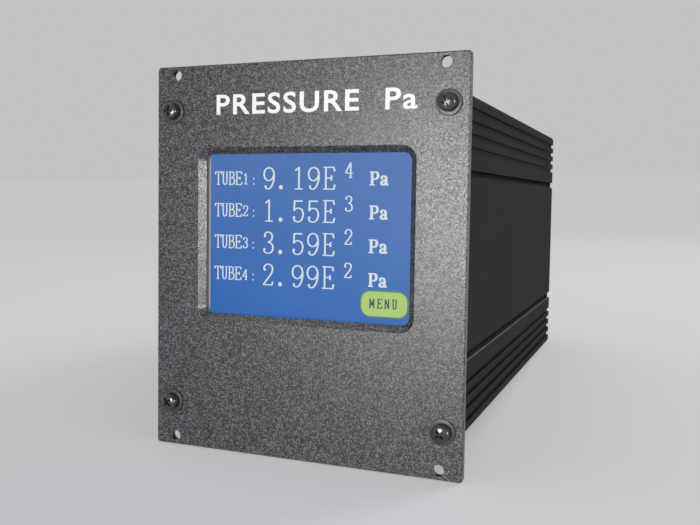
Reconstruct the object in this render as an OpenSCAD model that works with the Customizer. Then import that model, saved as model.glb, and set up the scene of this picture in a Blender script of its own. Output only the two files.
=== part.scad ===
// Panel-mounted indicator unit of a four-channel resistance vacuum gauge.
// Frame: origin at the centre of the front panel's rear face, +Y into the body, +Z up, millimetres.

/* [Front panel] */
// How far the panel stands out past the body at each side
panel_side = 2.2; // [1:0.1:12]
// How far the panel stands out above and below the body
panel_lip = 10.9; // [9:0.1:20]
// Thickness of the panel plate
panel_t = 2.5; // [2:0.1:4]
// Radius of the panel's corners
panel_r = 1; // [0.6:0.1:2]
// Width of the broken edge round the panel's front
panel_edge = 0.4; // [0.2:0.05:0.5]
// Mounting holes, distance of their centres from the panel's side edges
mount_side = 7.43; // [5:0.01:12]
// Mounting holes, distance of their centres from the panel's top and bottom edges
mount_edge = 2.95; // [2.6:0.05:4]
// Diameter of the mounting holes
mount_d = 3.6; // [3.2:0.1:4.2]

/* [Window] */
// Width of the window at its inner edge
window_w = 70.5; // [60:0.5:73]
// Height of the window at its inner edge
window_h = 53.2; // [45:0.2:55]
// Corner radius of the window's inner edge
window_r = 2.5; // [1:0.1:6]
// Width of the bevel round the window
bevel_w = 2.1; // [1:0.1:3]
// Straight land left behind the bevel
window_land = 0.4; // [0.2:0.1:1]

/* [Body] */
// Width of the body
body_w = 101.9; // [98:0.1:130]
// Height of the body
body_h = 106.6; // [105:0.1:140]
// Length of the covers behind the panel
body_len = 213; // [200:1:300]
// Wall of the top and bottom covers
wall_t = 2.8; // [2.4:0.1:3.5]
// Outer corner radius of the covers
corner_r = 2.2; // [1.5:0.1:4.5]
// Height of a cover's side flange
flange_h = 23.6; // [22:0.1:30]
// Number of flutes along each flange
flute_count = 4; // [1:1:5]
// Width of a flute
flute_w = 1.9; // [1:0.1:2.5]
// Depth of a flute
flute_d = 0.9; // [0.4:0.1:1.2]
// Distance between flutes
flute_pitch = 4.07; // [3:0.01:4.3]
// Distance of the first flute from the cover's top face
flute_first = 5.1; // [4.5:0.1:5.8]
// Distance of the screw channels from the covers' outer faces
channel_inset = 4.1; // [4:0.1:5]
// Wall round a screw channel
channel_wall = 1.8; // [1.2:0.1:2]
// Width of the slit that opens a screw channel
channel_slit = 1.2; // [0.8:0.1:1.6]

/* [Side plates] */
// Thickness of the side plates
plate_t = 1.8; // [1.4:0.1:2.2]
// Height of the tongue that stands in the cover's slot
tongue_h = 5; // [3:0.1:6]
// Height of the sloped shoulder beside the cover's lip
shoulder_h = 3.1; // [1.5:0.1:6]
// Thickness of the covers' inner ribs
rib_t = 1.5; // [1.2:0.1:2]
// Play of sliding parts, on each side
slide_gap = 0.1; // [0.05:0.01:0.2]

/* [Rear panel] */
// Thickness of the rear panel
rear_t = 2; // [1.5:0.1:3]
// How far the rear panel stays inside the covers' outline
rear_inset = 1.2; // [1:0.1:1.3]

/* [Panel screws] */
// Thread diameter
screw_d = 3; // [2.5:0.1:3.2]
// Length under the head
screw_len = 12; // [10:0.5:16]
// Head diameter
head_d = 5.6; // [5:0.1:5.7]
// Head height
head_h = 2.3; // [1.8:0.1:3]
// How far the head's edge lies below its crown
head_dome = 0.9; // [0.4:0.1:1.2]
// Length of the cross recess
recess_l = 3.2; // [2:0.1:3.6]
// Width of the cross recess
recess_w = 0.7; // [0.5:0.05:1]
// Depth of the cross recess
recess_d = 1.3; // [0.8:0.1:1.5]
// Flat washer, outer diameter
washer_d = 8; // [7:0.1:8.1]
// Flat washer, thickness
washer_t = 0.8; // [0.5:0.1:1.2]
// Spring washer, outer diameter
spring_d = 5.3; // [4.8:0.1:6]
// Spring washer, thickness
spring_t = 0.9; // [0.6:0.1:1.2]
// Width of the split in the spring washer
spring_split = 0.5; // [0.3:0.1:1]
// Play of a screw in a hole, on each side
hole_gap = 0.25; // [0.15:0.05:0.4]
// Play left for the thread in its channel, on each side
thread_gap = 0.05; // [0.02:0.01:0.1]

/* [Display] */
// Thickness of the foam gasket
gasket_t = 0.3; // [0.2:0.1:1]
// Width of the gap between the window and the gasket
gasket_back = 0.8; // [0.4:0.1:1.5]
// Thickness of the touch panel
touch_t = 1; // [0.7:0.1:2]
// Thickness of the display module
lcd_t = 3.2; // [2.5:0.1:5]
// Border of the display module beside the window
lcd_side = 3.2; // [2.5:0.1:4]
// Border of the display module above and below the window
lcd_end = 5.3; // [4:0.1:5.6]
// Sheet thickness of the display's metal frame
frame_t = 0.3; // [0.2:0.05:0.5]
// How far the frame's opening stands outside the window's upper and lower edges
frame_back = 0.3; // [0:0.1:1]
// How far the frame's border shows inside the window's side edges
frame_show = 0.5; // [0:0.1:1]
// Diameter of the display's spacer studs
stud_d = 5.5; // [4.5:0.1:6]
// Space between the display module and the studs
stud_gap = 0.6; // [0.2:0.1:1]
// Distance of the studs from the module's sides
stud_in = 6; // [4:0.5:12]
// Length of stud thread behind the board
stud_tail = 5; // [3:0.5:8]
// Rim of the display board outside the studs
board_rim = 1; // [0.5:0.1:1.4]
// Space between the top cover and the display board
display_roof = 3.2; // [1:0.1:8]

/* [Boards] */
// Thickness of the circuit boards
board_t = 1.6; // [1:0.1:2]
// Depth of the card guides
guide_w = 2.4; // [2:0.1:3]
// Space between the front panel and the main board
main_front = 20; // [16:0.5:24]
// Space between a board's edge and a part that it doesn't touch
board_gap = 1; // [0.5:0.1:1.5]

/* [Ribbon cable] */
// Width of the ribbon
ribbon_w = 25.4; // [15:0.1:30]
// Thickness of the ribbon
ribbon_t = 0.9; // [0.6:0.1:1.2]
// Bend radius of the ribbon's inner face
ribbon_r = 5; // [3:0.5:6]
// Height of the box headers
header_h = 9; // [7:0.1:10]
// Wall of the box headers
header_wall = 1.2; // [0.8:0.1:1.6]
// Height by which a ribbon plug stands out of its header
plug_rise = 3; // [2:0.1:3.4]
// Depth of the box headers
header_t = 8.8; // [7:0.1:10]
// Length by which a header is longer than the ribbon is wide
header_more = 6; // [4:0.5:10]
// Distance of the display's header below the window's centre
header_drop = 16; // [12:0.5:18]
// Distance of the main board's header from its front edge
main_header_y = 16; // [14:0.5:20]

/* [Power parts] */
// Transformer core, width
core_w = 48; // [40:0.5:50]
// Transformer core, height
core_h = 40; // [34:0.5:48]
// Transformer core, stack thickness
core_t = 20; // [14:0.5:24]
// How far the winding stands out of the core
coil_out = 8; // [4:0.5:10]
// Play of the winding in the core, on each side
coil_gap = 0.2; // [0.1:0.05:0.4]
// Filter capacitor, diameter
cap_d = 16; // [12:0.5:18]
// Filter capacitor, height
cap_h = 30; // [20:0.5:40]
// Relay, width
relay_w = 15.6; // [12:0.1:18]
// Relay, length
relay_l = 19; // [15:0.1:21]
// Relay, height
relay_h = 15.4; // [10:0.1:20]
// Heat sink, height
sink_h = 28; // [22:0.5:40]
// Heat sink, number of fins
sink_fins = 6; // [3:1:7]

/* [Measuring cards] */
// Number of measuring channels
channels = 4; // [2:2:4]
// Distance between the measuring cards
card_pitch = 20; // [18:0.5:22]
// Length of a measuring card
card_l = 52; // [40:0.5:56]
// Height of a measuring card
card_h = 36; // [24:0.5:44]
// Height of a card's socket
card_socket_h = 8.5; // [6:0.1:10]

/* [Gauge sockets] */
// Distance between sockets across the rear panel
gauge_dx = 42; // [36:0.5:44]
// Distance between the two rows of sockets
gauge_dz = 20; // [17:0.5:22]
// Height of the rows' middle above the body's centre
gauge_z = 24; // [21:0.5:24.5]
// Socket flange, width
flange_w = 30.8; // [30:0.1:32]
// Socket flange, height
flange_ht = 12.5; // [12:0.1:13]
// Socket flange, thickness
flange_t = 0.8; // [0.5:0.1:1.2]
// Distance between a socket's jackscrews
jack_dx = 25; // [24:0.01:26]
// Socket shell, width at its long side
shell_w = 16.3; // [15:0.1:17]
// Socket shell, height
shell_h = 8.3; // [7.5:0.1:8.5]
// Socket shell, wall
shell_t = 0.5; // [0.3:0.05:0.7]
// Socket shell, length behind the rear panel's inner face
shell_l = 6; // [4:0.1:8]
// Depth of a socket's plastic block
block_l = 9.5; // [8:0.5:12]
// Distance between contact holes in a row
pin_pitch = 2.77; // [2.5:0.01:2.8]
// Distance between the two rows of contact holes
pin_row = 2.84; // [2.5:0.01:3]
// Diameter of a contact hole
pin_d = 1.1; // [0.8:0.1:1.3]
// Jackscrew, width across flats
jack_af = 4.8; // [4.5:0.1:5]
// Jackscrew, length of its hexagon
jack_l = 5; // [4:0.5:7]
// Jackscrew, thread diameter
jack_d = 2.8; // [2.5:0.1:3]

/* [Terminals] */
// Distance between ways of the signal and relay terminals
way_pitch = 5.08; // [4.8:0.01:5.08]
// Distance between ways of the supply terminal
supply_pitch = 7.62; // [7:0.01:7.62]
// Ways of the relay terminal
relay_ways = 12; // [6:1:12]
// Ways of the signal terminal
signal_ways = 8; // [4:1:8]
// Ways of the supply terminal
supply_ways = 3; // [2:1:3]
// Height of the relay terminal's centre
relay_z = -7; // [-8:0.5:-5]
// Height of the lower terminals' centre
lower_z = -26; // [-27:0.5:-24]
// Sideways place of the signal terminal
signal_x = -16; // [-18:0.5:-15]
// Sideways place of the supply terminal
supply_x = 26; // [23:0.5:28]
// Height of a terminal header
socket_h = 8.6; // [7:0.1:10]
// Wall of a terminal header
socket_t = 0.9; // [0.6:0.1:1.2]
// Length by which a header stands out of the rear panel
socket_out = 1; // [0.5:0.1:3]
// Height of a terminal plug
plug_h = 12.4; // [11:0.1:13]
// Length of a terminal plug behind its header
plug_l = 13; // [11:0.5:16]
// Slope along the plug's upper edge
plug_slope = 2.4; // [1:0.1:3]
// Diameter of a terminal screw
term_d = 3; // [2.5:0.1:3.2]
// Height of a terminal screw's head
term_h = 1.6; // [1:0.1:2]
// Side of the square wire entry
entry_w = 2.8; // [2:0.1:3]

/* [Earth terminal] */
// Thread diameter of the earth stud
earth_d = 4; // [3:0.1:5]
// Sideways place of the earth stud
earth_x = 30; // [24:0.5:32]
// Height of the earth stud above the body's underside
earth_up = 10.5; // [9:0.1:11]
// Length of the earth stud behind the rear panel
earth_out = 12; // [10:0.5:16]

/* [Hidden] */
$fn = 64;
// Overshoot of cuts
eps = 0.05;

// Overall sizes of the panel
panel_w = body_w + 2 * panel_side;
panel_h = body_h + 2 * panel_lip;
mount_x = panel_w / 2 - mount_side;
mount_z = panel_h / 2 - mount_edge;

// Section of the covers
flange_x = body_w / 2 - wall_t;
split_z = body_h / 2 - flange_h;
slot_w = plate_t + 2 * slide_gap;
slot_end = split_z + tongue_h + slide_gap;
rib_x = flange_x - slot_w - rib_t;
channel_x = body_w / 2 - channel_inset;
channel_z = body_h / 2 - channel_inset;
channel_d = screw_d + 2 * thread_gap;
screw_hole_d = screw_d + 2 * hole_gap;

// Card guides: the slot lies between two ribs beyond the side plate's slot
guide_slot = board_t + 2 * slide_gap;
guide_top = slot_end + rib_t;
main_z0 = -guide_top - guide_slot + slide_gap;
main_z1 = main_z0 + board_t;

// Depths of the display stack
touch_y = gasket_t;
lcd_y = touch_y + touch_t;
lcd_w = window_w + 2 * lcd_side;
lcd_h = window_h + 2 * lcd_end;
display_y0 = lcd_y + lcd_t;
display_y1 = display_y0 + board_t;
stud_x = lcd_w / 2 - stud_in;
stud_z = lcd_h / 2 + stud_gap + stud_d / 2;
display_h = 2 * (stud_z + stud_d / 2 + board_rim);
// Height of the window's centre above the panel's centre: the display hangs below the top cover
window_z = body_h / 2 - wall_t - display_roof - display_h / 2;

// Depths behind the rear panel and of the boards
socket_y = body_len - flange_t - block_l;
conn_y1 = socket_y;
conn_y0 = conn_y1 - board_t;
main_y0 = main_front;
main_y1 = conn_y0 - board_gap;
main_w = body_w - 2 * wall_t - 2 * slide_gap;
conn_w = 2 * (rib_x - board_gap);
conn_z0 = main_z1 + board_gap;
conn_z1 = gauge_z + gauge_dz / 2 + flange_ht / 2 + board_gap;
rear_y = body_len + rear_t;

// Depths of the terminals: floor of the header, start of the plug's tongue, start of the plug
socket_floor = 2;
tongue_y = conn_y1 + socket_floor;
plug_y = rear_y + socket_out;
// Height of a screw well's floor above the plug's middle
well_floor = 1;

// Ribbon route, from the display's header to the main board's header
ribbon_z = window_z - header_drop;
ribbon_y = main_y0 + main_header_y;
header_l = ribbon_w + header_more;
header_floor = 2.5;
header_key = 4.5;
plug_top = header_h + plug_rise;

// Rows of parts along the main board, counted from the rear edge
link_l = 9;
link_h = 8;
relay_y = main_y1 - link_l - board_gap - relay_l / 2;
relay_pitch = 20;
relay_base = 1.2;
relay_step = 0.4;
power_gap = 3;
power_y = relay_y - relay_l / 2 - power_gap - coil_out - core_t / 2;
core_x = -18;
core_limb = core_w / 6;
sink_base = 3;
sink_fin_l = 6;
sink_x = rib_x - board_gap - sink_fin_l;
regulator_t = 4.4;
regulator_w = 10;
regulator_h = 9;
regulator_pitch = 12;
tab_t = 1.3;
tab_h = 15.5;
leg_h = 4;
leg_w = 0.8;
leg_t = 0.6;
leg_pitch = 2.54;
cap_x = sink_x - sink_base - regulator_t - board_gap - cap_d / 2;
cap_space = 5;
cap_dy = cap_d + cap_space;
sink_fin_t = 1.2;
sink_w = 24;
card_t = board_t;
card_socket_t = 6;
fuse_d = 5.2;
fuse_l = 20;
fuse_cap = 5;
fuse_clip_t = 0.5;
fuse_in = 12;
fuse_x = fuse_in - main_w / 2;
card_y = ribbon_y + fuse_l / 2 + board_gap + (card_l + card_socket_t) / 2;
card_socket_slot = card_t + 2 * slide_gap;
card_floor = 2.5;
card_slot_h = card_socket_h - card_floor;
amplifier_t = 2;
amplifier_l = 9;
amplifier_h = 6;

// Flat chips: side, thickness, reach of the leads, share of a side that the leads take
chip_side = 14;
chip_t = 1.4;
chip_lead = 1;
chip_rows = 0.8;

// Nuts and small hardware
nut_m3_af = 5.5;
nut_m3_h = 2.4;
nut_jack_af = 4.8;
nut_jack_h = 1.8;
earth_af = 7 * earth_d / 4;
earth_nut_h = 0.8 * earth_d;
earth_washer_d = 2.2 * earth_d;
earth_washer_t = 0.8;
earth_head_d = 2 * earth_d;
earth_head_h = 0.6 * earth_d;
earth_z = -body_h / 2 + earth_up;

// Colours of the finishes
coat_black = [0.16, 0.16, 0.17];
anodised_black = [0.12, 0.12, 0.13];
zinc_black = [0.08, 0.08, 0.09];
board_green = [0.05, 0.33, 0.18];
plastic_black = [0.1, 0.1, 0.11];
terminal_green = [0.2, 0.55, 0.3];
tin = [0.75, 0.75, 0.77];
brass_yellow = [0.78, 0.62, 0.3];

// Shared shapes

// A flat section in X and Z, drawn out along Y
module along_y(y, len) {
  translate([0, y + len, 0]) rotate([90, 0, 0]) linear_extrude(len) children();
}

// A flat section in Y and Z, drawn out along X about its middle
module along_x(x, len) {
  translate([x - len / 2, 0, 0]) rotate([90, 0, 90]) linear_extrude(len) children();
}

// A round bar along Y
module bar_y(x, y, z, d, len) {
  translate([x, y, z]) rotate([-90, 0, 0]) cylinder(d = d, h = len);
}

// A hexagon bar along Y, measured across its flats
module hex_y(x, y, z, af, len) {
  translate([x, y, z]) rotate([-90, 0, 0]) cylinder(d = af / cos(30), h = len, $fn = 6);
}

// A box placed by the middle of its X side, its front Y, its middle Z
module box_y(x, y, z, w, len, h) {
  translate([x - w / 2, y, z - h / 2]) cube([w, len, h]);
}

// A box standing on a level, placed by its middle in X and Y
module box_on(x, y, z, w, len, h) {
  translate([x - w / 2, y - len / 2, z]) cube([w, len, h]);
}

// A flat rectangle with round corners
module round_rect(w, h, r) {
  square([w - 2 * r, h], center = true);
  square([w, h - 2 * r], center = true);
  for (sx = [-1, 1], sz = [-1, 1])
    translate([sx * (w / 2 - r), sz * (h / 2 - r)]) circle(r = r);
}

// Direction from one point to the next, in degrees
function heading(a, b) = atan2(b[1] - a[1], b[0] - a[0]);

// A flat convex outline with round corners; the points are the corners' centres, counter-clockwise
module round_outline(points, r) {
  count = len(points);
  steps = 8;
  polygon([
    for (i = [0:count - 1])
      let (
        inward = heading(points[(i + count - 1) % count], points[i]),
        outward = heading(points[i], points[(i + 1) % count]),
        turn = (outward - inward + 360) % 360
      )
      for (k = [0:steps])
        let (a = inward - 90 + turn * k / steps)
        points[i] + r * [cos(a), sin(a)]
  ]);
}

// A round-cornered block whose outline grows by "grow" on its way forward from y
module flared_block(w, h, r, grow, y, depth) {
  translate([0, 0, r - h / 2]) linear_extrude(h - 2 * r)
    polygon([[-w / 2, y], [-w / 2 - grow, y - depth], [w / 2 + grow, y - depth], [w / 2, y]]);
  along_x(0, w - 2 * r)
    polygon([[y, -h / 2], [y, h / 2], [y - depth, h / 2 + grow], [y - depth, -h / 2 - grow]]);
  for (sx = [-1, 1], sz = [-1, 1])
    translate([sx * (w / 2 - r), y, sz * (h / 2 - r)]) rotate([90, 0, 0])
      cylinder(r1 = r, r2 = r + grow, h = depth);
}

// Places its children at the four screw channels
module at_channels() {
  for (sx = [-1, 1], sz = [-1, 1]) translate([sx * channel_x, 0, sz * channel_z]) children();
}

// Places its children at the four display studs
module at_studs() {
  for (sx = [-1, 1], sz = [-1, 1]) translate([sx * stud_x, 0, window_z + sz * stud_z]) children();
}

// Places its children at the four gauge sockets
module at_gauges() {
  for (sx = [-1, 1], sz = [-1, 1]) translate([sx * gauge_dx / 2, 0, gauge_z + sz * gauge_dz / 2]) children();
}

// Places its children at the eight jackscrews
module at_jacks() {
  at_gauges() for (sx = [-1, 1]) translate([sx * jack_dx / 2, 0, 0]) children();
}

// Places its children at the measuring cards or at the relays
module at_row(pitch) {
  for (i = [0:channels - 1]) translate([(i - (channels - 1) / 2) * pitch, 0, 0]) children();
}

// Front panel

// The window through the panel: a bevel at the front and a straight land behind it
module window_cut() {
  depth = panel_t - window_land;
  reach = depth + eps;
  translate([0, 0, window_z]) {
    along_y(-panel_t, panel_t + eps) round_rect(window_w, window_h, window_r);
    flared_block(window_w, window_h, window_r, bevel_w * reach / depth, -window_land, reach);
  }
}

module front_panel() {
  color(coat_black) difference() {
    union() {
      along_y(panel_edge - panel_t, panel_t - panel_edge) round_rect(panel_w, panel_h, panel_r);
      flared_block(panel_w, panel_h, panel_r, -panel_edge, panel_edge - panel_t, panel_edge);
    }
    window_cut();
    for (sx = [-1, 1], sz = [-1, 1])
      bar_y(sx * mount_x, -panel_t - eps, sz * mount_z, mount_d, panel_t + 2 * eps);
    at_channels() bar_y(0, -panel_t - eps, 0, screw_hole_d, panel_t + 2 * eps);
  }
}

// A pan head screw along Z: the head below zero, the thread above
module pan_screw() {
  head_r = head_d / 2;
  dome_r = (head_r * head_r + head_dome * head_dome) / (2 * head_dome);
  difference() {
    union() {
      intersection() {
        translate([0, 0, -head_h]) cylinder(d = head_d, h = head_h);
        translate([0, 0, dome_r - head_h]) sphere(r = dome_r);
      }
      cylinder(d = screw_d, h = screw_len);
    }
    for (a = [0, 90]) rotate(a)
      translate([-recess_l / 2, -recess_w / 2, -head_h - eps]) cube([recess_l, recess_w, recess_d + eps]);
  }
}

module panel_screws() {
  color(zinc_black) at_channels()
    translate([0, -panel_t - washer_t - spring_t, 0]) rotate([-90, 0, 0]) pan_screw();
}

module spring_washers() {
  color(zinc_black) at_channels() translate([0, -panel_t - washer_t, 0]) rotate([90, 0, 0]) difference() {
    cylinder(d = spring_d, h = spring_t);
    translate([0, 0, -eps]) cylinder(d = screw_d + 2 * thread_gap, h = spring_t + 2 * eps);
    translate([0, -spring_split / 2, -eps]) cube([spring_d, spring_split, spring_t + 2 * eps]);
  }
}

module flat_washers() {
  color(zinc_black) at_channels() translate([0, -panel_t, 0]) rotate([90, 0, 0]) difference() {
    cylinder(d = washer_d, h = washer_t);
    translate([0, 0, -eps]) cylinder(d = screw_hole_d, h = washer_t + 2 * eps);
  }
}

// Display

module window_gasket() {
  color("dimgray") translate([0, 0, window_z]) along_y(0, gasket_t) difference() {
    square([lcd_w, lcd_h], center = true);
    round_rect(window_w + 2 * gasket_back, window_h + 2 * gasket_back, window_r);
  }
}

module touch_panel() {
  color("lightsteelblue", 0.4) box_y(0, touch_y, window_z, lcd_w, touch_t, lcd_h);
}

// Pressed metal tray, open at the back, with the picture opening in its face
module lcd_frame() {
  color(tin) translate([0, 0, window_z]) difference() {
    box_y(0, lcd_y, 0, lcd_w, lcd_t, lcd_h);
    box_y(0, lcd_y + frame_t, 0, lcd_w - 2 * frame_t, lcd_t, lcd_h - 2 * frame_t);
    box_y(0, lcd_y - eps, 0, window_w - 2 * frame_show, lcd_t, window_h + 2 * frame_back);
  }
}

module lcd_cell() {
  cell_w = lcd_w - 2 * (frame_t + slide_gap);
  cell_h = lcd_h - 2 * (frame_t + slide_gap);
  color("royalblue") box_y(0, lcd_y + frame_t, window_z, cell_w, lcd_t - frame_t, cell_h);
}

module display_board() {
  color(board_green) difference() {
    box_y(0, display_y0, window_z, lcd_w, board_t, display_h);
    at_studs() bar_y(0, display_y0 - eps, 0, screw_hole_d, board_t + 2 * eps);
  }
}

// Studs welded to the back of the panel: a spacer and a thread
module display_studs() {
  color(tin) at_studs() {
    bar_y(0, 0, 0, stud_d, display_y0);
    bar_y(0, 0, 0, screw_d, display_y1 + stud_tail);
  }
}

module display_nuts() {
  color(tin) at_studs() difference() {
    hex_y(0, display_y1, 0, nut_m3_af, nut_m3_h);
    bar_y(0, display_y1 - eps, 0, screw_d + 2 * thread_gap, nut_m3_h + 2 * eps);
  }
}

// A flat chip lying on zero, with its rows of leads
module flat_chip() {
  span = chip_side + 2 * chip_lead;
  row = chip_side * chip_rows;
  box_on(0, 0, 0, chip_side, chip_side, chip_t);
  box_on(0, 0, 0, span, row, chip_t / 4);
  box_on(0, 0, 0, row, span, chip_t / 4);
}

module display_chips() {
  color(plastic_black) for (sx = [-1, 1])
    translate([sx * chip_side, display_y1, window_z + chip_side]) rotate([-90, 0, 0]) flat_chip();
}

// Places its children at the two ends of the ribbon
module at_display_end() {
  translate([0, display_y1, ribbon_z]) rotate([-90, 0, 0]) children();
}

module at_main_end() {
  translate([0, ribbon_y, main_z1]) children();
}

// An open box standing on zero, with a keyway through one long wall
module box_header() {
  difference() {
    box_on(0, 0, 0, header_l, header_t, header_h);
    box_on(0, 0, header_floor, header_l - 2 * header_wall, header_t - 2 * header_wall, header_h);
    translate([-header_key / 2, 0, header_floor]) cube([header_key, header_t, header_h]);
  }
}

module display_header() {
  color(plastic_black) at_display_end() box_header();
}

module main_header() {
  color(plastic_black) at_main_end() box_header();
}

// The plug on the ribbon's end stands in the box, with its key in the keyway
module ribbon_plug() {
  fit = header_wall + slide_gap;
  key_w = header_key - 2 * slide_gap;
  box_on(0, 0, header_floor, header_l - 2 * fit, header_t - 2 * fit, plug_top - header_floor);
  translate([-key_w / 2, 0, header_floor]) cube([key_w, header_t / 2, plug_top - header_floor]);
}

module ribbon_plugs() {
  color(plastic_black) {
    at_display_end() ribbon_plug();
    at_main_end() ribbon_plug();
  }
}

// The ribbon runs back from the display, bends down and ends on the main board
module ribbon_cable() {
  bend_out = ribbon_r + ribbon_t;
  bend_y = ribbon_y + ribbon_t / 2 - bend_out;
  bend_z = ribbon_z + ribbon_t / 2 - bend_out;
  start_y = display_y1 + plug_top;
  end_z = main_z1 + plug_top;
  color("lightgray") along_x(0, ribbon_w) {
    translate([start_y, bend_z + ribbon_r]) square([bend_y - start_y, ribbon_t]);
    translate([bend_y + ribbon_r, end_z]) square([ribbon_t, bend_z - end_z]);
    translate([bend_y, bend_z]) intersection() {
      difference() {
        circle(r = bend_out);
        circle(r = ribbon_r);
      }
      square(bend_out + eps);
    }
  }
}

// Body

// Section of the top cover: roof, fluted flanges, screw channels, plate slots and card guides
module cover_section() {
  guide_t = rib_t;
  difference() {
    union() {
      difference() {
        round_rect(body_w, body_h, corner_r);
        square([body_w - 2 * wall_t, body_h - 2 * wall_t], center = true);
        translate([-body_w, split_z - 2 * body_h]) square([2 * body_w, 2 * body_h]);
      }
      for (sx = [-1, 1]) {
        translate([sx * channel_x, channel_z]) circle(d = channel_d + 2 * channel_wall);
        translate([sx * (rib_x + rib_t / 2) - rib_t / 2, split_z])
          square([rib_t, slot_end + rib_t - split_z]);
        translate([sx * (rib_x + (flange_x - rib_x) / 2), slot_end + rib_t / 2])
          square([flange_x - rib_x + 2 * eps, rib_t], center = true);
        translate([sx * (flange_x - guide_w / 2), guide_top + guide_slot + guide_t / 2])
          square([guide_w + 2 * eps, guide_t], center = true);
      }
    }
    for (sx = [-1, 1]) {
      for (i = [0:flute_count - 1])
        translate([sx * body_w / 2, body_h / 2 - flute_first - i * flute_pitch])
          square([2 * flute_d, flute_w], center = true);
      translate([sx * channel_x, channel_z]) circle(d = channel_d);
      translate([sx * channel_x, channel_z]) rotate(sx > 0 ? 225 : 315)
        translate([0, -channel_slit / 2]) square([channel_d + channel_wall, channel_slit]);
    }
  }
}

module top_cover() {
  color(anodised_black) along_y(0, body_len) cover_section();
}

module bottom_cover() {
  color(anodised_black) along_y(0, body_len) mirror([0, 1]) cover_section();
}

// Section of the right side plate: a flush web with shoulders that step in to the tongues
module plate_section() {
  web_x = body_w / 2;
  tongue_x = flange_x - slide_gap;
  tongue_z = split_z + tongue_h;
  web_z = split_z - shoulder_h;
  polygon([
    [web_x, -web_z], [web_x, web_z], [tongue_x, split_z], [tongue_x, tongue_z],
    [tongue_x - plate_t, tongue_z], [tongue_x - plate_t, split_z], [web_x - plate_t, web_z],
    [web_x - plate_t, -web_z], [tongue_x - plate_t, -split_z], [tongue_x - plate_t, -tongue_z],
    [tongue_x, -tongue_z], [tongue_x, -split_z]
  ]);
}

module right_side_plate() {
  color(anodised_black) along_y(0, body_len) plate_section();
}

module left_side_plate() {
  color(anodised_black) along_y(0, body_len) mirror([1, 0]) plate_section();
}

// Outline of a socket's shell: a D with its long side up
module shell_outline(inset) {
  r = 2.2;
  lean = 10;
  slope = shell_h * tan(lean);
  top = shell_w / 2 - r;
  half = shell_h / 2 - r;
  round_outline([[-top + slope, -half], [top - slope, -half], [top, half], [-top, half]], r - inset);
}

// Outlines of the terminal headers, one after the other
module terminal_places() {
  translate([0, 0, relay_z]) children(0);
  translate([signal_x, 0, lower_z]) children(1);
  translate([supply_x, 0, lower_z]) children(2);
}

function ways_w(ways, pitch) = ways * pitch + 2 * socket_t;

module rear_panel() {
  w = body_w - 2 * rear_inset;
  h = body_h - 2 * rear_inset;
  cut = rear_t + 2 * eps;
  cut_y = body_len - eps;
  fit = 2 * hole_gap;
  color(anodised_black) difference() {
    along_y(body_len, rear_t) round_rect(w, h, corner_r - rear_inset);
    at_channels() bar_y(0, cut_y, 0, screw_hole_d, cut);
    at_gauges() along_y(cut_y, cut) shell_outline(-hole_gap);
    at_jacks() bar_y(0, cut_y, 0, jack_d + fit, cut);
    terminal_places() {
      box_y(0, cut_y, 0, ways_w(relay_ways, way_pitch) + fit, cut, socket_h + fit);
      box_y(0, cut_y, 0, ways_w(signal_ways, way_pitch) + fit, cut, socket_h + fit);
      box_y(0, cut_y, 0, ways_w(supply_ways, supply_pitch) + fit, cut, socket_h + fit);
    }
    bar_y(earth_x, cut_y, earth_z, earth_d + fit, cut);
  }
}

module rear_screws() {
  color(zinc_black) at_channels() translate([0, rear_y, 0]) rotate([90, 0, 0]) pan_screw();
}

// Main board and what stands on it

module main_board() {
  color(board_green) translate([-main_w / 2, main_y0, main_z0]) cube([main_w, main_y1 - main_y0, board_t]);
}

module processor() {
  place_x = main_w / 2 - 3 * chip_side / 2;
  color(plastic_black) translate([place_x, ribbon_y, main_z1]) flat_chip();
}

// Shell-type core of stacked laminations, with a window at each side of its middle limb
module transformer_core() {
  color("dimgray") translate([core_x, power_y, main_z1]) difference() {
    box_on(0, 0, 0, core_w, core_t, core_h);
    for (sx = [-1, 1])
      box_on(sx * 1.5 * core_limb, 0, core_limb, core_limb, core_t + 2 * eps, core_h - 2 * core_limb);
  }
}

// The winding fills the windows and wraps the middle limb
module transformer_coil() {
  coil_w = 4 * core_limb - 2 * coil_gap;
  coil_h = core_h - 2 * core_limb - 2 * coil_gap;
  coil_t = core_t + 2 * coil_out;
  hole_w = 2 * core_limb + 2 * coil_gap;
  color("goldenrod") translate([core_x, power_y, main_z1 + core_limb + coil_gap]) difference() {
    box_on(0, 0, 0, coil_w, coil_t, coil_h);
    box_on(0, 0, -eps, hole_w, core_t + 2 * coil_gap, coil_h + 2 * eps);
  }
}

// Two cans with a groove round the foot and a shallow dish in the top
module filter_capacitors() {
  groove = 0.6;
  rim = 1;
  color("midnightblue") for (sy = [-1, 1]) translate([cap_x, power_y + sy * cap_dy / 2, main_z1])
    difference() {
      cylinder(d = cap_d, h = cap_h);
      translate([0, 0, cap_h - groove]) cylinder(d = cap_d - 2 * rim, h = cap_h);
      translate([0, 0, 2 * rim]) difference() {
        cylinder(d = cap_d + 2 * rim, h = rim);
        translate([0, 0, -eps]) cylinder(d = cap_d - 2 * groove, h = rim + 2 * eps);
      }
    }
}

// Bridge rectifier standing on its four legs
module rectifier() {
  w = 15;
  t = 4;
  h = 12;
  legs = 4;
  place_y = power_y - cap_dy / 2 - cap_d / 2 - t;
  color(plastic_black) translate([cap_x, place_y, main_z1]) {
    box_on(0, 0, leg_h, w, t, h);
    for (i = [0:legs - 1]) box_on((i - (legs - 1) / 2) * w / legs, 0, 0, leg_w, leg_t, leg_h + eps);
  }
}

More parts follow.
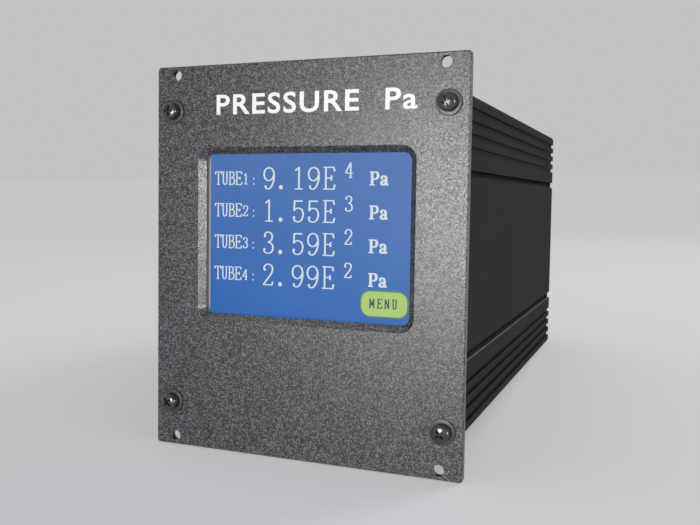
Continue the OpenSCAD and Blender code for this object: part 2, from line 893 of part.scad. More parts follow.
// Finned aluminium extrusion standing on the board
module heat_sink() {
  pitch = (sink_w - sink_fin_t) / (sink_fins - 1);
  color("silver") translate([sink_x, power_y, main_z1]) linear_extrude(sink_h) {
    translate([-sink_base, -sink_w / 2]) square([sink_base, sink_w]);
    for (i = [0:sink_fins - 1])
      translate([-eps, i * pitch - sink_w / 2]) square([sink_fin_l + eps, sink_fin_t]);
  }
}

// Two regulators with their tabs against the heat sink
module regulators() {
  color(plastic_black) for (sy = [-1, 1])
    translate([sink_x - sink_base, power_y + sy * regulator_pitch / 2, main_z1]) {
      box_on(-regulator_t / 2, 0, leg_h, regulator_t, regulator_w, regulator_h);
      box_on(-tab_t / 2, 0, leg_h, tab_t, regulator_w, tab_h);
      for (i = [-1:1]) box_on(-regulator_t / 2, i * leg_pitch, 0, leg_t, leg_w, leg_h + eps);
    }
}

// Each relay's case stands a little outside its base
module relays() {
  color("royalblue") at_row(relay_pitch) translate([0, relay_y, main_z1]) {
    box_on(0, 0, 0, relay_w - 2 * relay_step, relay_l - 2 * relay_step, relay_base + eps);
    box_on(0, 0, relay_base, relay_w, relay_l, relay_h - relay_base);
  }
}

// Glass fuse lying in two clips near the board's side, a cap on each end of the tube
module fuse() {
  cap_wall = 0.3;
  tube_l = fuse_l - 2 * cap_wall;
  color("whitesmoke") translate([fuse_x, ribbon_y, main_z1 + fuse_d]) {
    bar_y(0, -tube_l / 2, 0, fuse_d - 2 * cap_wall, tube_l);
    for (sy = [-1, 1]) bar_y(0, (sy * (fuse_l - fuse_cap) - fuse_cap) / 2, 0, fuse_d, fuse_cap);
  }
}

module fuse_clips() {
  clip_w = fuse_d + 2 * fuse_clip_t + 2 * slide_gap;
  color(tin) for (sy = [-1, 1]) translate([fuse_x, ribbon_y + sy * (fuse_l - fuse_cap) / 2, main_z1])
    difference() {
      box_on(0, 0, 0, clip_w, fuse_cap, fuse_d * 1.4);
      bar_y(0, -fuse_cap, fuse_d, fuse_d + 2 * slide_gap, 2 * fuse_cap);
      box_on(0, 0, fuse_d, fuse_d + 2 * slide_gap, 2 * fuse_cap, fuse_d);
    }
}

// Measuring cards stand upright in their sockets, one for each gauge head

module measuring_cards() {
  z0 = main_z1 + card_socket_h - card_slot_h;
  color(board_green) at_row(card_pitch) box_on(0, card_y, z0, card_t, card_l, card_h);
}

module card_sockets() {
  color(plastic_black) at_row(card_pitch) difference() {
    box_on(0, card_y, main_z1, card_socket_t, card_l + card_socket_t, card_socket_h);
    box_on(0, card_y, main_z1 + card_socket_h - card_slot_h, card_socket_slot, card_l + 2 * slide_gap,
      card_socket_h);
  }
}

module card_amplifiers() {
  chip_z = main_z1 + card_socket_h + card_h / 3;
  chip_x = (card_t + amplifier_t) / 2;
  color(plastic_black) at_row(card_pitch) for (sy = [-1, 1])
    box_on(chip_x, card_y + sy * card_l / 4, chip_z, amplifier_t, amplifier_l, amplifier_h);
}

// Rear connectors

module link_header() {
  color(plastic_black) translate([-header_l / 2, conn_y0 - link_l, main_z1]) cube([header_l, link_l, link_h]);
}

module connector_board() {
  color(board_green) translate([-conn_w / 2, conn_y0, conn_z0]) cube([conn_w, board_t, conn_z1 - conn_z0]);
}

// Plated shells of the nine-way gauge sockets: a flange inside the panel and a D tube through it
module gauge_shells() {
  flange_y = body_len - flange_t;
  color(tin) at_gauges() difference() {
    union() {
      along_y(flange_y, flange_t) square([flange_w, flange_ht], center = true);
      along_y(flange_y, flange_t + shell_l) shell_outline(0);
    }
    along_y(flange_y - eps, flange_t + shell_l + 2 * eps) shell_outline(shell_t);
    for (sx = [-1, 1]) bar_y(sx * jack_dx / 2, flange_y - eps, 0, jack_d + 2 * hole_gap, flange_t + 2 * eps);
  }
}

// Plastic inserts with two rows of contact holes, on the block behind the flange
module gauge_inserts() {
  recess = 0.3;
  fit = shell_t + slide_gap;
  face_y = body_len + shell_l - recess;
  block_w = jack_dx - jack_af - 3;
  hole_l = 6;
  color(plastic_black) at_gauges() difference() {
    union() {
      box_y(0, socket_y, 0, block_w, block_l, flange_ht);
      along_y(socket_y, face_y - socket_y) shell_outline(fit);
    }
    for (i = [0:4]) bar_y((i - 2) * pin_pitch, face_y - hole_l, pin_row / 2, pin_d, hole_l + eps);
    for (i = [0:3]) bar_y((i - 1.5) * pin_pitch, face_y - hole_l, -pin_row / 2, pin_d, hole_l + eps);
  }
}

// Hexagon jackscrews hold the shells to the panel; each is bored and threaded for the plug's screw
module jackscrews() {
  tail = rear_t + flange_t + nut_jack_h;
  bore = 0.8 * jack_d;
  floor_t = 1;
  color(tin) at_jacks() difference() {
    union() {
      hex_y(0, rear_y, 0, jack_af, jack_l);
      bar_y(0, rear_y - tail, 0, jack_d, tail + eps);
    }
    bar_y(0, rear_y + floor_t, 0, bore, jack_l);
  }
}

module jack_nuts() {
  nut_y = body_len - flange_t - nut_jack_h;
  color(tin) at_jacks() difference() {
    hex_y(0, nut_y, 0, nut_jack_af, nut_jack_h);
    bar_y(0, nut_y - eps, 0, jack_d + 2 * thread_gap, nut_jack_h + 2 * eps);
  }
}

// One terminal: a header on the connector board, a plug in it, a screw over each wire entry

module terminal_header(ways, pitch) {
  w = ways_w(ways, pitch);
  difference() {
    box_y(0, conn_y1, 0, w, plug_y - conn_y1, socket_h);
    box_y(0, tongue_y, 0, w - 2 * socket_t, plug_y - tongue_y + eps, socket_h - 2 * socket_t);
  }
}

module terminal_plug(ways, pitch) {
  w = ways_w(ways, pitch);
  well_d = term_d + 2 * hole_gap;
  well_h = plug_h / 2 - well_floor;
  entry_l = plug_l * 0.6;
  half = plug_h / 2;
  difference() {
    union() {
      box_y(0, tongue_y, 0, w - 2 * socket_t - 2 * slide_gap, plug_y - tongue_y + eps,
        socket_h - 2 * socket_t - 2 * slide_gap);
      along_x(0, w) polygon([[plug_y, -half], [plug_y + plug_l, -half], [plug_y + plug_l, half - plug_slope],
        [plug_y + plug_l - plug_slope, half], [plug_y, half]]);
    }
    for (i = [0:ways - 1]) {
      x = (i - (ways - 1) / 2) * pitch;
      translate([x, plug_y + plug_l / 2, half - well_h]) cylinder(d = well_d, h = well_h + eps);
      box_y(x, plug_y + plug_l - entry_l, -plug_h / 5, entry_w, entry_l + eps, entry_w);
    }
  }
}

// A slotted screw at the bottom of each well
module terminal_screw_row(ways, pitch) {
  slot_w = 0.6;
  slot_d = 0.8;
  for (i = [0:ways - 1])
    translate([(i - (ways - 1) / 2) * pitch, plug_y + plug_l / 2, well_floor]) difference() {
      cylinder(d = term_d, h = term_h);
      translate([-term_d, -slot_w / 2, term_h - slot_d]) cube([2 * term_d, slot_w, slot_d + eps]);
    }
}

module terminal_headers() {
  color(terminal_green) terminal_places() {
    terminal_header(relay_ways, way_pitch);
    terminal_header(signal_ways, way_pitch);
    terminal_header(supply_ways, supply_pitch);
  }
}

module terminal_plugs() {
  color(terminal_green) terminal_places() {
    terminal_plug(relay_ways, way_pitch);
    terminal_plug(signal_ways, way_pitch);
    terminal_plug(supply_ways, supply_pitch);
  }
}

module terminal_screws() {
  color(tin) terminal_places() {
    terminal_screw_row(relay_ways, way_pitch);
    terminal_screw_row(signal_ways, way_pitch);
    terminal_screw_row(supply_ways, supply_pitch);
  }
}

// Earth terminal: a screw from inside, a lock nut on the panel, a washer and a nut for the wire

module earth_stud() {
  color(brass_yellow) {
    bar_y(earth_x, body_len - earth_head_h, earth_z, earth_head_d, earth_head_h);
    bar_y(earth_x, body_len - eps, earth_z, earth_d, rear_t + earth_out + eps);
  }
}

module earth_washer() {
  y = rear_y + earth_nut_h;
  color(brass_yellow) difference() {
    bar_y(earth_x, y, earth_z, earth_washer_d, earth_washer_t);
    bar_y(earth_x, y - eps, earth_z, earth_d + 2 * hole_gap, earth_washer_t + 2 * eps);
  }
}

module earth_nuts() {
  color(brass_yellow) for (y = [rear_y, rear_y + earth_nut_h + earth_washer_t]) difference() {
    hex_y(earth_x, y, earth_z, earth_af, earth_nut_h);
    bar_y(earth_x, y - eps, earth_z, earth_d + 2 * thread_gap, earth_nut_h + 2 * eps);
  }
}

front_panel();
panel_screws();
spring_washers();
flat_washers();
window_gasket();
touch_panel();
lcd_frame();
lcd_cell();
display_board();
display_studs();
display_nuts();
display_chips();
display_header();
top_cover();
bottom_cover();
left_side_plate();
right_side_plate();
rear_panel();
rear_screws();
main_board();
main_header();
ribbon_cable();
ribbon_plugs();
processor();
transformer_core();
transformer_coil();
filter_capacitors();
rectifier();
regulators();
heat_sink();
relays();
fuse();
fuse_clips();
measuring_cards();
card_sockets();
card_amplifiers();
link_header();
connector_board();
gauge_shells();
gauge_inserts();
jackscrews();
jack_nuts();
terminal_headers();
terminal_plugs();
terminal_screws();
earth_stud();
earth_washer();
earth_nuts();
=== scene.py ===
"""Dresses the solids of a panel-mounted vacuum gauge indicator: finishes, screws, the lit display and its stage."""

import math
from collections import namedtuple

import bmesh
import bpy
from bpy.props import FloatProperty, FloatVectorProperty, PointerProperty, StringProperty
from mathutils import Matrix, Vector


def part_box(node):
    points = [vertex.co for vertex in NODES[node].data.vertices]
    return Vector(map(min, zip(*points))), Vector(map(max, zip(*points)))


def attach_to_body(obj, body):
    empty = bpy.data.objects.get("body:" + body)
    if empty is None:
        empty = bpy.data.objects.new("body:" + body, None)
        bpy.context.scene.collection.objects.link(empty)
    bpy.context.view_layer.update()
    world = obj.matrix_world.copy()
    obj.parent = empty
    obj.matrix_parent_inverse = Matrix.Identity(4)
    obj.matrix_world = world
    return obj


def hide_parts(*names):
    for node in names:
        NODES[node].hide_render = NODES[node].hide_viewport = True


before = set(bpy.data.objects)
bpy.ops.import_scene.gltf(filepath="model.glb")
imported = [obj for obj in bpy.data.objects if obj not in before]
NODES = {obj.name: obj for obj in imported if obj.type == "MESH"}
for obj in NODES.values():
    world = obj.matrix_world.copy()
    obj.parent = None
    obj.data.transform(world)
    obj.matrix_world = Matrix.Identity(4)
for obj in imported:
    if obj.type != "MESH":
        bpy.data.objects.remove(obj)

bl_info = {
    "name": "Vacuum gauge indicator",
    "version": (1, 0, 0),
    "blender": (4, 5, 0),
    "location": "View3D > Sidebar > Gauge",
    "description": "Dresses a panel-mounted vacuum gauge indicator and sets its stage",
    "category": "Object",
}

MM = 0.001
# Thickness of a printed or lit film
FILM = 0.02 * MM
# Outer diameter of the panel's flat washers, in mm
WASHER_SIZE = 8.0
UPRIGHT = (math.pi / 2, 0, 0)
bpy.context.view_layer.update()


# Sizes that come from the solids

PANEL_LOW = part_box("front_panel")[0]
WASHER_LOW, WASHER_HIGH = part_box("flat_washers")
SPRING_LOW, SPRING_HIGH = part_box("spring_washers")
REAR_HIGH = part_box("rear_panel")[1]
COVER_LOW, COVER_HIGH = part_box("bottom_cover")
CELL_LOW, CELL_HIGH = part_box("lcd_cell")
SPREAD_X = WASHER_HIGH.x - WASHER_LOW.x - WASHER_SIZE * MM
SPREAD_Z = WASHER_HIGH.z - WASHER_LOW.z - WASHER_SIZE * MM


# Values that the sidebar shows

def linear(code):
    """Turns an sRGB hex colour into the linear values that shaders take."""
    shares = [int(code[i:i + 2], 16) / 255 for i in (0, 2, 4)]
    return tuple(s / 12.92 if s <= 0.04045 else ((s + 0.055) / 1.055) ** 2.4 for s in shares) + (1.0,)


def length(name, description, size):
    """A size in millimetres that the sidebar shows in the scene's own unit."""
    return FloatProperty(name=name, description=description, default=size * MM, min=0, unit="LENGTH", precision=5)


def colour(name, description, code):
    """A colour that the sidebar shows as a swatch."""
    return FloatVectorProperty(name=name, description=description, default=linear(code), size=4, subtype="COLOR",
                               min=0, max=1)


def wording(name, description, text):
    """A short text."""
    return StringProperty(name=name, description=description, default=text)


def power(name, description, watts):
    """The power of a lamp."""
    return FloatProperty(name=name, description=description, default=watts, min=0, subtype="POWER")


def angle(name, description, degrees):
    """An angle, given here in degrees."""
    return FloatProperty(name=name, description=description, default=math.radians(degrees), subtype="ANGLE")


class GaugeFinishes(bpy.types.PropertyGroup):
    """Colours and grain of the outer finishes."""

    coat: colour("Panel coat", "Body of the sand-textured coat on the front panel", "0c0d0e")
    # The flecks are painted glints: grain tops painted light grey as if they caught the light
    coat_glint: colour("Coat flecks", "Tips of the coat's grains, where the powder thins", "68696d")
    coat_grain: length("Coat grain", "Distance between grains of the coat", 0.3)
    case: colour("Case dye", "Dye of the anodised covers and side plates", "2a2b2b")
    case_streak: length("Extrusion streaks", "Distance between the lines that the die draws", 0.35)
    fastener: colour("Fasteners", "Black zinc of the screws and washers", "28292b")
    terminal: colour("Terminals", "Plastic of the terminal headers and plugs", "2d8a4e")


class GaugeScrews(bpy.types.PropertyGroup):
    """Sizes of the panel screws, their washers and the rear screws."""

    spread_x: FloatProperty(name="Spread across", description="Distance between screws across the panel",
                            default=SPREAD_X, unit="LENGTH", precision=5)
    spread_z: FloatProperty(name="Spread up", description="Distance between screws up the panel",
                            default=SPREAD_Z, unit="LENGTH", precision=5)
    head_diameter: length("Head diameter", "Outer diameter of the pan head", 5.6)
    head_height: length("Head height", "Height of the pan head over its seat", 2.3)
    head_dome: length("Dome", "How far the head's edge lies below its crown", 0.9)
    recess_length: length("Recess length", "Span of the cross recess at the crown", 3.3)
    recess_width: length("Recess width", "Width of a wing of the cross recess", 0.75)
    recess_depth: length("Recess depth", "Depth of the cross recess below the crown", 1.4)
    thread_diameter: length("Thread diameter", "Outer diameter of the thread", 3.0)
    thread_length: length("Thread length", "Length under the head", 12.0)
    washer_diameter: length("Washer diameter", "Outer diameter of the flat washer", WASHER_SIZE)
    washer_bore: length("Washer bore", "Hole of the flat washer", 3.5)
    spring_diameter: length("Spring diameter", "Outer diameter of the spring washer", 5.3)
    spring_bore: length("Spring bore", "Inner diameter of the spring washer", 3.1)


class GaugeDisplay(bpy.types.PropertyGroup):
    """What the display shows, and its colours."""

    readings: wording("Readings", "Mantissas of the rows, from the top", "9.19E 1.55E 3.59E 2.99E")
    exponents: wording("Exponents", "Raised powers of ten, from the top", "4 3 2 2")
    label: wording("Label", "Word before each row's number", "TUBE")
    button: wording("Button", "Word on the touch button", "MENU")
    low: colour("Lower blue", "Backlit blue at the bottom of the picture", "226cc2")
    # The upper blue holds a painted reflection: a veil of light on the matt film makes it greyer and lighter
    high: colour("Upper blue", "Backlit blue at the top of the picture", "4e7cc1")
    figures: colour("Figures", "White of the lit figures", "e9f4fb")
    key: colour("Button", "Yellow-green of the touch button", "b9de7c")
    key_rim: colour("Button rim", "Darker green round the touch button", "5f9460")
    key_word: colour("Button word", "Dark word on the touch button", "35505c")
    digit_height: length("Figure height", "Height of the large figures", 7.2)
    cell: length("Figure cell", "Distance from one large figure to the next", 5.25)
    first_line: length("First line", "Height of the top row's foot over the panel's middle", 23.4)
    row_pitch: length("Row pitch", "Distance from one row to the next", 10.58)


class GaugeLegend(bpy.types.PropertyGroup):
    """The printed line over the window: the measured quantity and its unit."""

    words: wording("Words", "Measured quantity and unit", "PRESSURE  Pa")
    ink: colour("Ink", "White screen ink", "f2f2f0")
    span: length("Span", "Length of the printed line", 67.8)
    height: length("Height", "Height of its capitals", 6.7)
    middle_x: length("Middle across", "Sideways place of the line's middle", 3.3)
    foot: length("Foot", "Height of the line's foot over the panel's middle", 47.6)


class GaugeStage(bpy.types.PropertyGroup):
    """Floor, lamps and camera."""

    floor: colour("Floor", "Pale paper under the gauge", "f4f4f6")
    sky: colour("Surround", "Pale surround of the studio", "fafafc")
    fill: FloatProperty(name="Fill", description="Strength of the surround as a light", default=0.27, min=0)
    pale: FloatProperty(name="Pale", description="How much paler the surround looks than it lights", default=0.36,
                        min=0)
    key: power("Front lamp", "Power of the soft lamp in front", 0.46)
    side: power("Side lamp", "Power of the soft lamp at the right", 0.8)
    rear: power("Rear lamps", "Power of each soft lamp behind", 0.45)
    top: power("Top lamp", "Power of the soft lamp overhead", 0.08)
    lens: FloatProperty(name="Lens", description="Focal length on a 36 mm sensor", default=45.1, min=1, unit="CAMERA")
    yaw: angle("Yaw", "Turn of the view to the right of the panel's front", 23.68)
    pitch: angle("Pitch", "Downward look", 3.36)
    roll: angle("Roll", "Turn of the picture", 0.59)
    eye: FloatVectorProperty(name="Eye", description="Place of the camera", default=(0.1074, -0.2601, 0.0206),
                             subtype="TRANSLATION", unit="LENGTH")
    shift: FloatVectorProperty(name="Shift", description="Shift of the picture in widths", size=2,
                               default=(0.0933, -0.0187))


# Tools for trees

def add(tree, kind, settings=None, inputs=None):
    """Adds a node with its settings; its inputs are values, sockets to link, or lists of sockets."""
    made = tree.nodes.new(kind)
    for name, value in (settings or {}).items():
        setattr(made, name, value)
    for key, value in (inputs or {}).items():
        for one in value if isinstance(value, list) else [value]:
            if isinstance(one, bpy.types.NodeSocket):
                tree.links.new(one, made.inputs[key])
            else:
                made.inputs[key].default_value = one
    return made


def per_metre(size):
    """Repeats per metre of a pattern whose real size is given in metres."""
    return 1 / size


def band_scale(pitch):
    """Scale of a wave texture whose bands lie this far apart."""
    return per_metre(pitch) * 2 * math.pi / 20


def noise(tree, place, size, detail=2.0, roughness=0.5):
    """Cloudy noise with lumps of this size."""
    return add(tree, "ShaderNodeTexNoise", inputs={
        "Vector": place, "Scale": per_metre(size), "Detail": detail, "Roughness": roughness}).outputs[0]


def ramp(tree, value, low, high, start=0.3, stop=0.7):
    """Runs from low to high while a value, such as noise, runs from start to stop."""
    return add(tree, "ShaderNodeMapRange", inputs={
        "Value": value, "From Min": start, "From Max": stop, "To Min": low, "To Max": high}).outputs[0]


def blend(tree, share, first, second):
    """Goes from one colour to another by a share."""
    return add(tree, "ShaderNodeMix", {"data_type": "RGBA"}, {0: share, 6: first, 7: second}).outputs[2]


def tinted(tree, tint, tone, share=1.0):
    """Multiplies a colour by a tone, or by a share of it."""
    return add(tree, "ShaderNodeMix", {"data_type": "RGBA", "blend_type": "MULTIPLY"}, {
        0: share, 6: tint, 7: tone}).outputs[2]


def calc(tree, operation, *values):
    """Works out one value from others."""
    return add(tree, "ShaderNodeMath", {"operation": operation}, dict(enumerate(values))).outputs[0]


def xyz(tree, **parts):
    """Joins parts into a vector; the rest are zero."""
    return add(tree, "ShaderNodeCombineXYZ", inputs=parts).outputs[0]


def parts_of(tree, place):
    """Parts of a vector."""
    return add(tree, "ShaderNodeSeparateXYZ", inputs={"Vector": place}).outputs


def mapped(tree, place, **change):
    """Coordinates that are stretched or turned."""
    return add(tree, "ShaderNodeMapping", inputs={"Vector": place, **change}).outputs[0]


def moved(tree, geometry, **change):
    """Geometry that is shifted, turned or stretched."""
    return add(tree, "GeometryNodeTransform", inputs={"Geometry": geometry, **change}).outputs[0]


def bump(tree, height, strength, depth=0.02 * MM, invert=False):
    """Fine relief of this depth."""
    return add(tree, "ShaderNodeBump", {"invert": invert}, {
        "Strength": strength, "Distance": depth, "Height": height}).outputs[0]


def blank_material(name):
    """A new material with an empty tree, and the object's own coordinates in it."""
    material = bpy.data.materials.new(name)
    material.use_nodes = True
    tree = material.node_tree
    tree.nodes.clear()
    return material, tree, add(tree, "ShaderNodeTexCoord").outputs["Object"]


def surfaced(material, tree, inputs):
    """Ends a material's tree with its one shader."""
    shader = add(tree, "ShaderNodeBsdfPrincipled", inputs=inputs)
    add(tree, "ShaderNodeOutputMaterial", inputs={"Surface": shader.outputs[0]})
    return material


# Tools for pieces

def finish(material, *names):
    """Gives CAD nodes a material in all their slots."""
    for name in names:
        for slot in NODES[name].material_slots:
            slot.material = material


def attach(piece, slot, *names):
    """Makes a piece ride on the gauge's one body, in place of CAD nodes where it has them; the slot is not used."""
    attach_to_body(piece, "root")
    if names:
        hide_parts(*names)


def keep_mesh(name, mesh, material=None):
    """Puts a mesh into the scene as a piece at the origin."""
    piece = bpy.data.objects.new(name, mesh)
    bpy.context.scene.collection.objects.link(piece)
    if material:
        mesh.materials.append(material)
    return piece


def new_tree(name, sizes):
    """Starts a geometry tree with a named input for each size."""
    tree = bpy.data.node_groups.new(name, "GeometryNodeTree")
    for size in sizes:
        tree.interface.new_socket(name=size, in_out="INPUT", socket_type="NodeSocketFloat")
    tree.interface.new_socket(name="Geometry", in_out="OUTPUT", socket_type="NodeSocketGeometry")
    return tree, add(tree, "NodeGroupInput").outputs


def set_at_corners(tree, sizes, part, material, turned):
    """Sets one part, drawn along Z, at the four screw places of a panel, and ends the tree."""
    grid = add(tree, "GeometryNodeMeshGrid", inputs={
        "Size X": sizes["Spread across"], "Size Y": sizes["Spread up"], "Vertices X": 2, "Vertices Y": 2})
    spin = add(tree, "FunctionNodeRandomValue", inputs={2: 0.0, 3: turned, "Seed": 5})
    copies = add(tree, "GeometryNodeInstanceOnPoints", inputs={
        "Points": moved(tree, grid.outputs["Mesh"], Rotation=UPRIGHT),
        "Instance": moved(tree, part, Rotation=UPRIGHT), "Rotation": xyz(tree, Y=spin.outputs[1])})
    placed = moved(tree, copies.outputs[0], Translation=xyz(tree, Y=sizes["Seat"]),
                   Rotation=xyz(tree, Z=sizes["Turn"]))
    real = add(tree, "GeometryNodeRealizeInstances", inputs={"Geometry": placed})
    done = add(tree, "GeometryNodeSetMaterial", inputs={"Geometry": real.outputs[0], "Material": material})
    add(tree, "NodeGroupOutput", inputs={"Geometry": done.outputs[0]})


def run_tree(name, tree, sizes):
    """Runs a geometry tree once with these sizes, and keeps the result as a plain mesh."""
    piece = bpy.data.objects.new(name, bpy.data.meshes.new(name))
    modifier = piece.modifiers.new(name, "NODES")
    modifier.node_group = tree
    for item in tree.interface.items_tree:
        if item.in_out == "INPUT":
            modifier[item.identifier] = float(sizes[item.name])
    bpy.context.scene.collection.objects.link(piece)
    graph = bpy.context.evaluated_depsgraph_get()
    mesh = bpy.data.meshes.new_from_object(piece.evaluated_get(graph), depsgraph=graph)
    piece.modifiers.clear()
    piece.data = mesh
    if not mesh.polygons:
        raise RuntimeError(f"the tree for {name} made nothing")
    mesh.shade_smooth()
    mesh.set_sharp_from_angle(angle=math.radians(35))
    return piece


# Finishes of the outside

def powder_coat(sizes):
    """Sand-textured black powder coat: fused round grains, each turned its own way, with glints painted light grey on
    the tops of some grains.
    """
    material, tree, place = blank_material("Sand-textured black powder coat")
    grain = add(tree, "ShaderNodeTexVoronoi", {"feature": "F1"}, {
        "Vector": place, "Scale": per_metre(sizes.coat_grain)})
    facet = add(tree, "ShaderNodeSeparateColor", inputs={"Color": grain.outputs["Color"]})
    # Painted glints: grains whose colour value is high get light grey tops, as if they caught the light
    painted_glints = ramp(tree, facet.outputs[0], low=0.0, high=1.0, start=0.55, stop=0.8)
    # The spray is uneven, in clouds three fingers across
    body = tinted(tree, tuple(sizes.coat), noise(tree, place, 60 * MM), share=0.25)
    return surfaced(material, tree, {
        "Base Color": blend(tree, painted_glints, body, tuple(sizes.coat_glint)),
        "Roughness": ramp(tree, facet.outputs[1], low=0.46, high=0.25, start=0.0, stop=1.0),
        "Specular IOR Level": 0.6,
        "Normal": bump(tree, grain.outputs["Distance"], strength=0.8, invert=True)})


def painted_lip_highlight(tree, place):
    """A painted highlight on the lower cover's lip, where a side plate slides in along it: light grey as bare metal,
    strongest at its outer edge, and fading inward to lighten the ledge's shade.
    """
    at = parts_of(tree, place)
    facing = parts_of(tree, add(tree, "ShaderNodeNewGeometry").outputs["Normal"])
    upward = calc(tree, "GREATER_THAN", facing["Z"], 0.9)
    level = calc(tree, "COMPARE", at["Z"], COVER_HIGH.z, 0.05 * MM)
    edge = ramp(tree, calc(tree, "ABSOLUTE", at["X"]), low=0.12, high=1.0,
                start=COVER_HIGH.x - 1.0 * MM, stop=COVER_HIGH.x - 0.2 * MM)
    return calc(tree, "MULTIPLY", calc(tree, "MULTIPLY", upward, level), edge)


def anodised(name, dye, streak, stretch):
    """Black anodised aluminium: a dyed oxide skin, satin, with the fine lines that the die or brush left, and a
    painted highlight along the lower cover's lip.
    """
    material, tree, place = blank_material(name)
    lines = noise(tree, mapped(tree, place, Scale=stretch), streak, detail=3.0, roughness=0.65)
    dyed = tinted(tree, tuple(dye), ramp(tree, lines, low=0.75, high=1.3))
    # The dye takes a little unevenly along the bath
    cloudy = tinted(tree, dyed, noise(tree, place, 50 * MM, detail=3.0), share=0.4)
    return surfaced(material, tree, {
        # The light grey blended in is a painted highlight along the lower cover's lip
        "Base Color": blend(tree, painted_lip_highlight(tree, place), cloudy, linear("b4b5b6")),
        "Roughness": ramp(tree, lines, low=0.62, high=0.76), "Specular IOR Level": 0.03,
        "Normal": bump(tree, lines, strength=0.3)})


def black_zinc(name, tint, glossiest, dullest, seal):
    """Black zinc on steel: near black and glossy under its clear seal, with faint handling marks."""
    material, tree, place = blank_material(name)
    marks = noise(tree, place, 0.8 * MM, detail=4.0, roughness=0.7)
    return surfaced(material, tree, {
        "Base Color": tuple(tint), "Roughness": ramp(tree, marks, low=glossiest, high=dullest),
        "Specular IOR Level": 0.6, "Coat Weight": seal, "Coat Roughness": 0.12,
        "Normal": bump(tree, marks, strength=0.25)})


def screen_ink(ink):
    """White screen ink: a flat opaque film that lies on the coat and shows its grain a little."""
    material, tree, place = blank_material("White screen ink")
    cover = ramp(tree, noise(tree, place, 0.5 * MM), low=0.86, high=1.0, stop=0.6)
    return surfaced(material, tree, {"Base Color": tinted(tree, tuple(ink), cover), "Roughness": 0.5})


# Finishes of the display

def glowing(material, tree, dark, picture):
    """A display's own light over its near-black, matt face."""
    return surfaced(material, tree, {
        "Base Color": dark, "Roughness": 0.5, "Specular IOR Level": 0.2, "Emission Color": picture,
        "Emission Strength": 1.0})


def lit_crystal(low, high):
    """Backlit blue liquid crystal: an even glow with a faint grid of pixels, with a painted reflection of a faint
    veil of light that makes it a little greyer and lighter at the top.
    """
    material, tree, place = blank_material("Backlit blue liquid crystal")
    # Painted reflection: the blue turns greyer and lighter towards the top, as a veil of light on the matt film
    rise = ramp(tree, parts_of(tree, place)["Z"], low=0.0, high=1.0, start=CELL_LOW.z, stop=CELL_HIGH.z)
    # Pixels are 0.22 mm apart; the grid is drawn at twice that, so that it shows close up
    grid = add(tree, "ShaderNodeTexBrick", {"offset": 0.0}, {
        "Vector": mapped(tree, place, Rotation=UPRIGHT), "Color1": (1, 1, 1, 1), "Color2": (0.97, 0.98, 1, 1),
        "Mortar": (0.8, 0.84, 0.9, 1), "Scale": 1.0, "Mortar Size": 0.03 * MM, "Brick Width": 0.44 * MM,
        "Row Height": 0.44 * MM})
    pixels = tinted(tree, blend(tree, rise, tuple(low), tuple(high)), grid.outputs["Color"])
    even = ramp(tree, noise(tree, place, 20 * MM), low=0.96, high=1.04)
    return glowing(material, tree, (0.002, 0.004, 0.01, 1), tinted(tree, pixels, even))


def lit_pixels(name, tint):
    """Pixels of the display in one colour, lit from behind, with the display's own fine mottle."""
    material, tree, place = blank_material(name)
    even = ramp(tree, noise(tree, place, 0.5 * MM, detail=1.0), low=0.93, high=1.03)
    return glowing(material, tree, (0.002, 0.002, 0.002, 1), tinted(tree, tuple(tint), even))


def touch_glass():
    """Touch panel glass with a matt film: clear, faintly smoky, with hardly a reflection."""
    material, tree, place = blank_material("Touch panel glass with matt film")
    return surfaced(material, tree, {
        "Base Color": linear("101418"), "Roughness": ramp(tree, noise(tree, place, 0.3 * MM), low=0.34, high=0.46),
        "IOR": 1.5, "Alpha": 0.12})


# Finishes of metal, plastic and board

def bare_metal(name, tint, grain, roughness, stretch=(1, 1, 1), bare=1.0):
    """Bare or plated metal: its own colour in the reflections, broken by the fine lines of how it was worked.

    Where it is not quite bare, a dull skin of oxide scatters the rest of the light.
    """
    material, tree, place = blank_material(name)
    lines = noise(tree, mapped(tree, place, Scale=stretch), grain, detail=3.0, roughness=0.6)
    return surfaced(material, tree, {
        "Base Color": tinted(tree, linear(tint), ramp(tree, lines, low=0.85, high=1.05)), "Metallic": bare,
        "Roughness": ramp(tree, lines, low=roughness * 0.8, high=roughness * 1.3),
        "Normal": bump(tree, lines, strength=0.2)})


def moulded(name, tint, grain, roughness, relief=0.03 * MM):
    """Moulded plastic: one colour through and through, with the spark-eroded grain of its mould."""
    material, tree, place = blank_material(name)
    skin = noise(tree, place, grain, detail=3.0, roughness=0.6)
    flow = noise(tree, place, 20 * MM)
    return surfaced(material, tree, {
        "Base Color": tinted(tree, tuple(tint), ramp(tree, flow, low=0.86, high=1.1)),
        "Roughness": ramp(tree, skin, low=roughness * 0.85, high=roughness * 1.2), "IOR": 1.5,
        "Normal": bump(tree, skin, strength=0.35, depth=relief)})


def banded(name, dark, light, pitch, axis, roughness):
    """A stack or row of like strips, such as laminations or wires, seen as fine bands along one axis."""
    material, tree, place = blank_material(name)
    bands = add(tree, "ShaderNodeTexWave", {"wave_type": "BANDS", "bands_direction": axis}, {
        "Vector": place, "Scale": band_scale(pitch), "Distortion": 0.3, "Detail": 1.0}).outputs["Fac"]
    return surfaced(material, tree, {
        "Base Color": blend(tree, bands, linear(dark), linear(light)), "Roughness": roughness,
        "Normal": bump(tree, bands, strength=0.4, depth=0.1 * MM)})


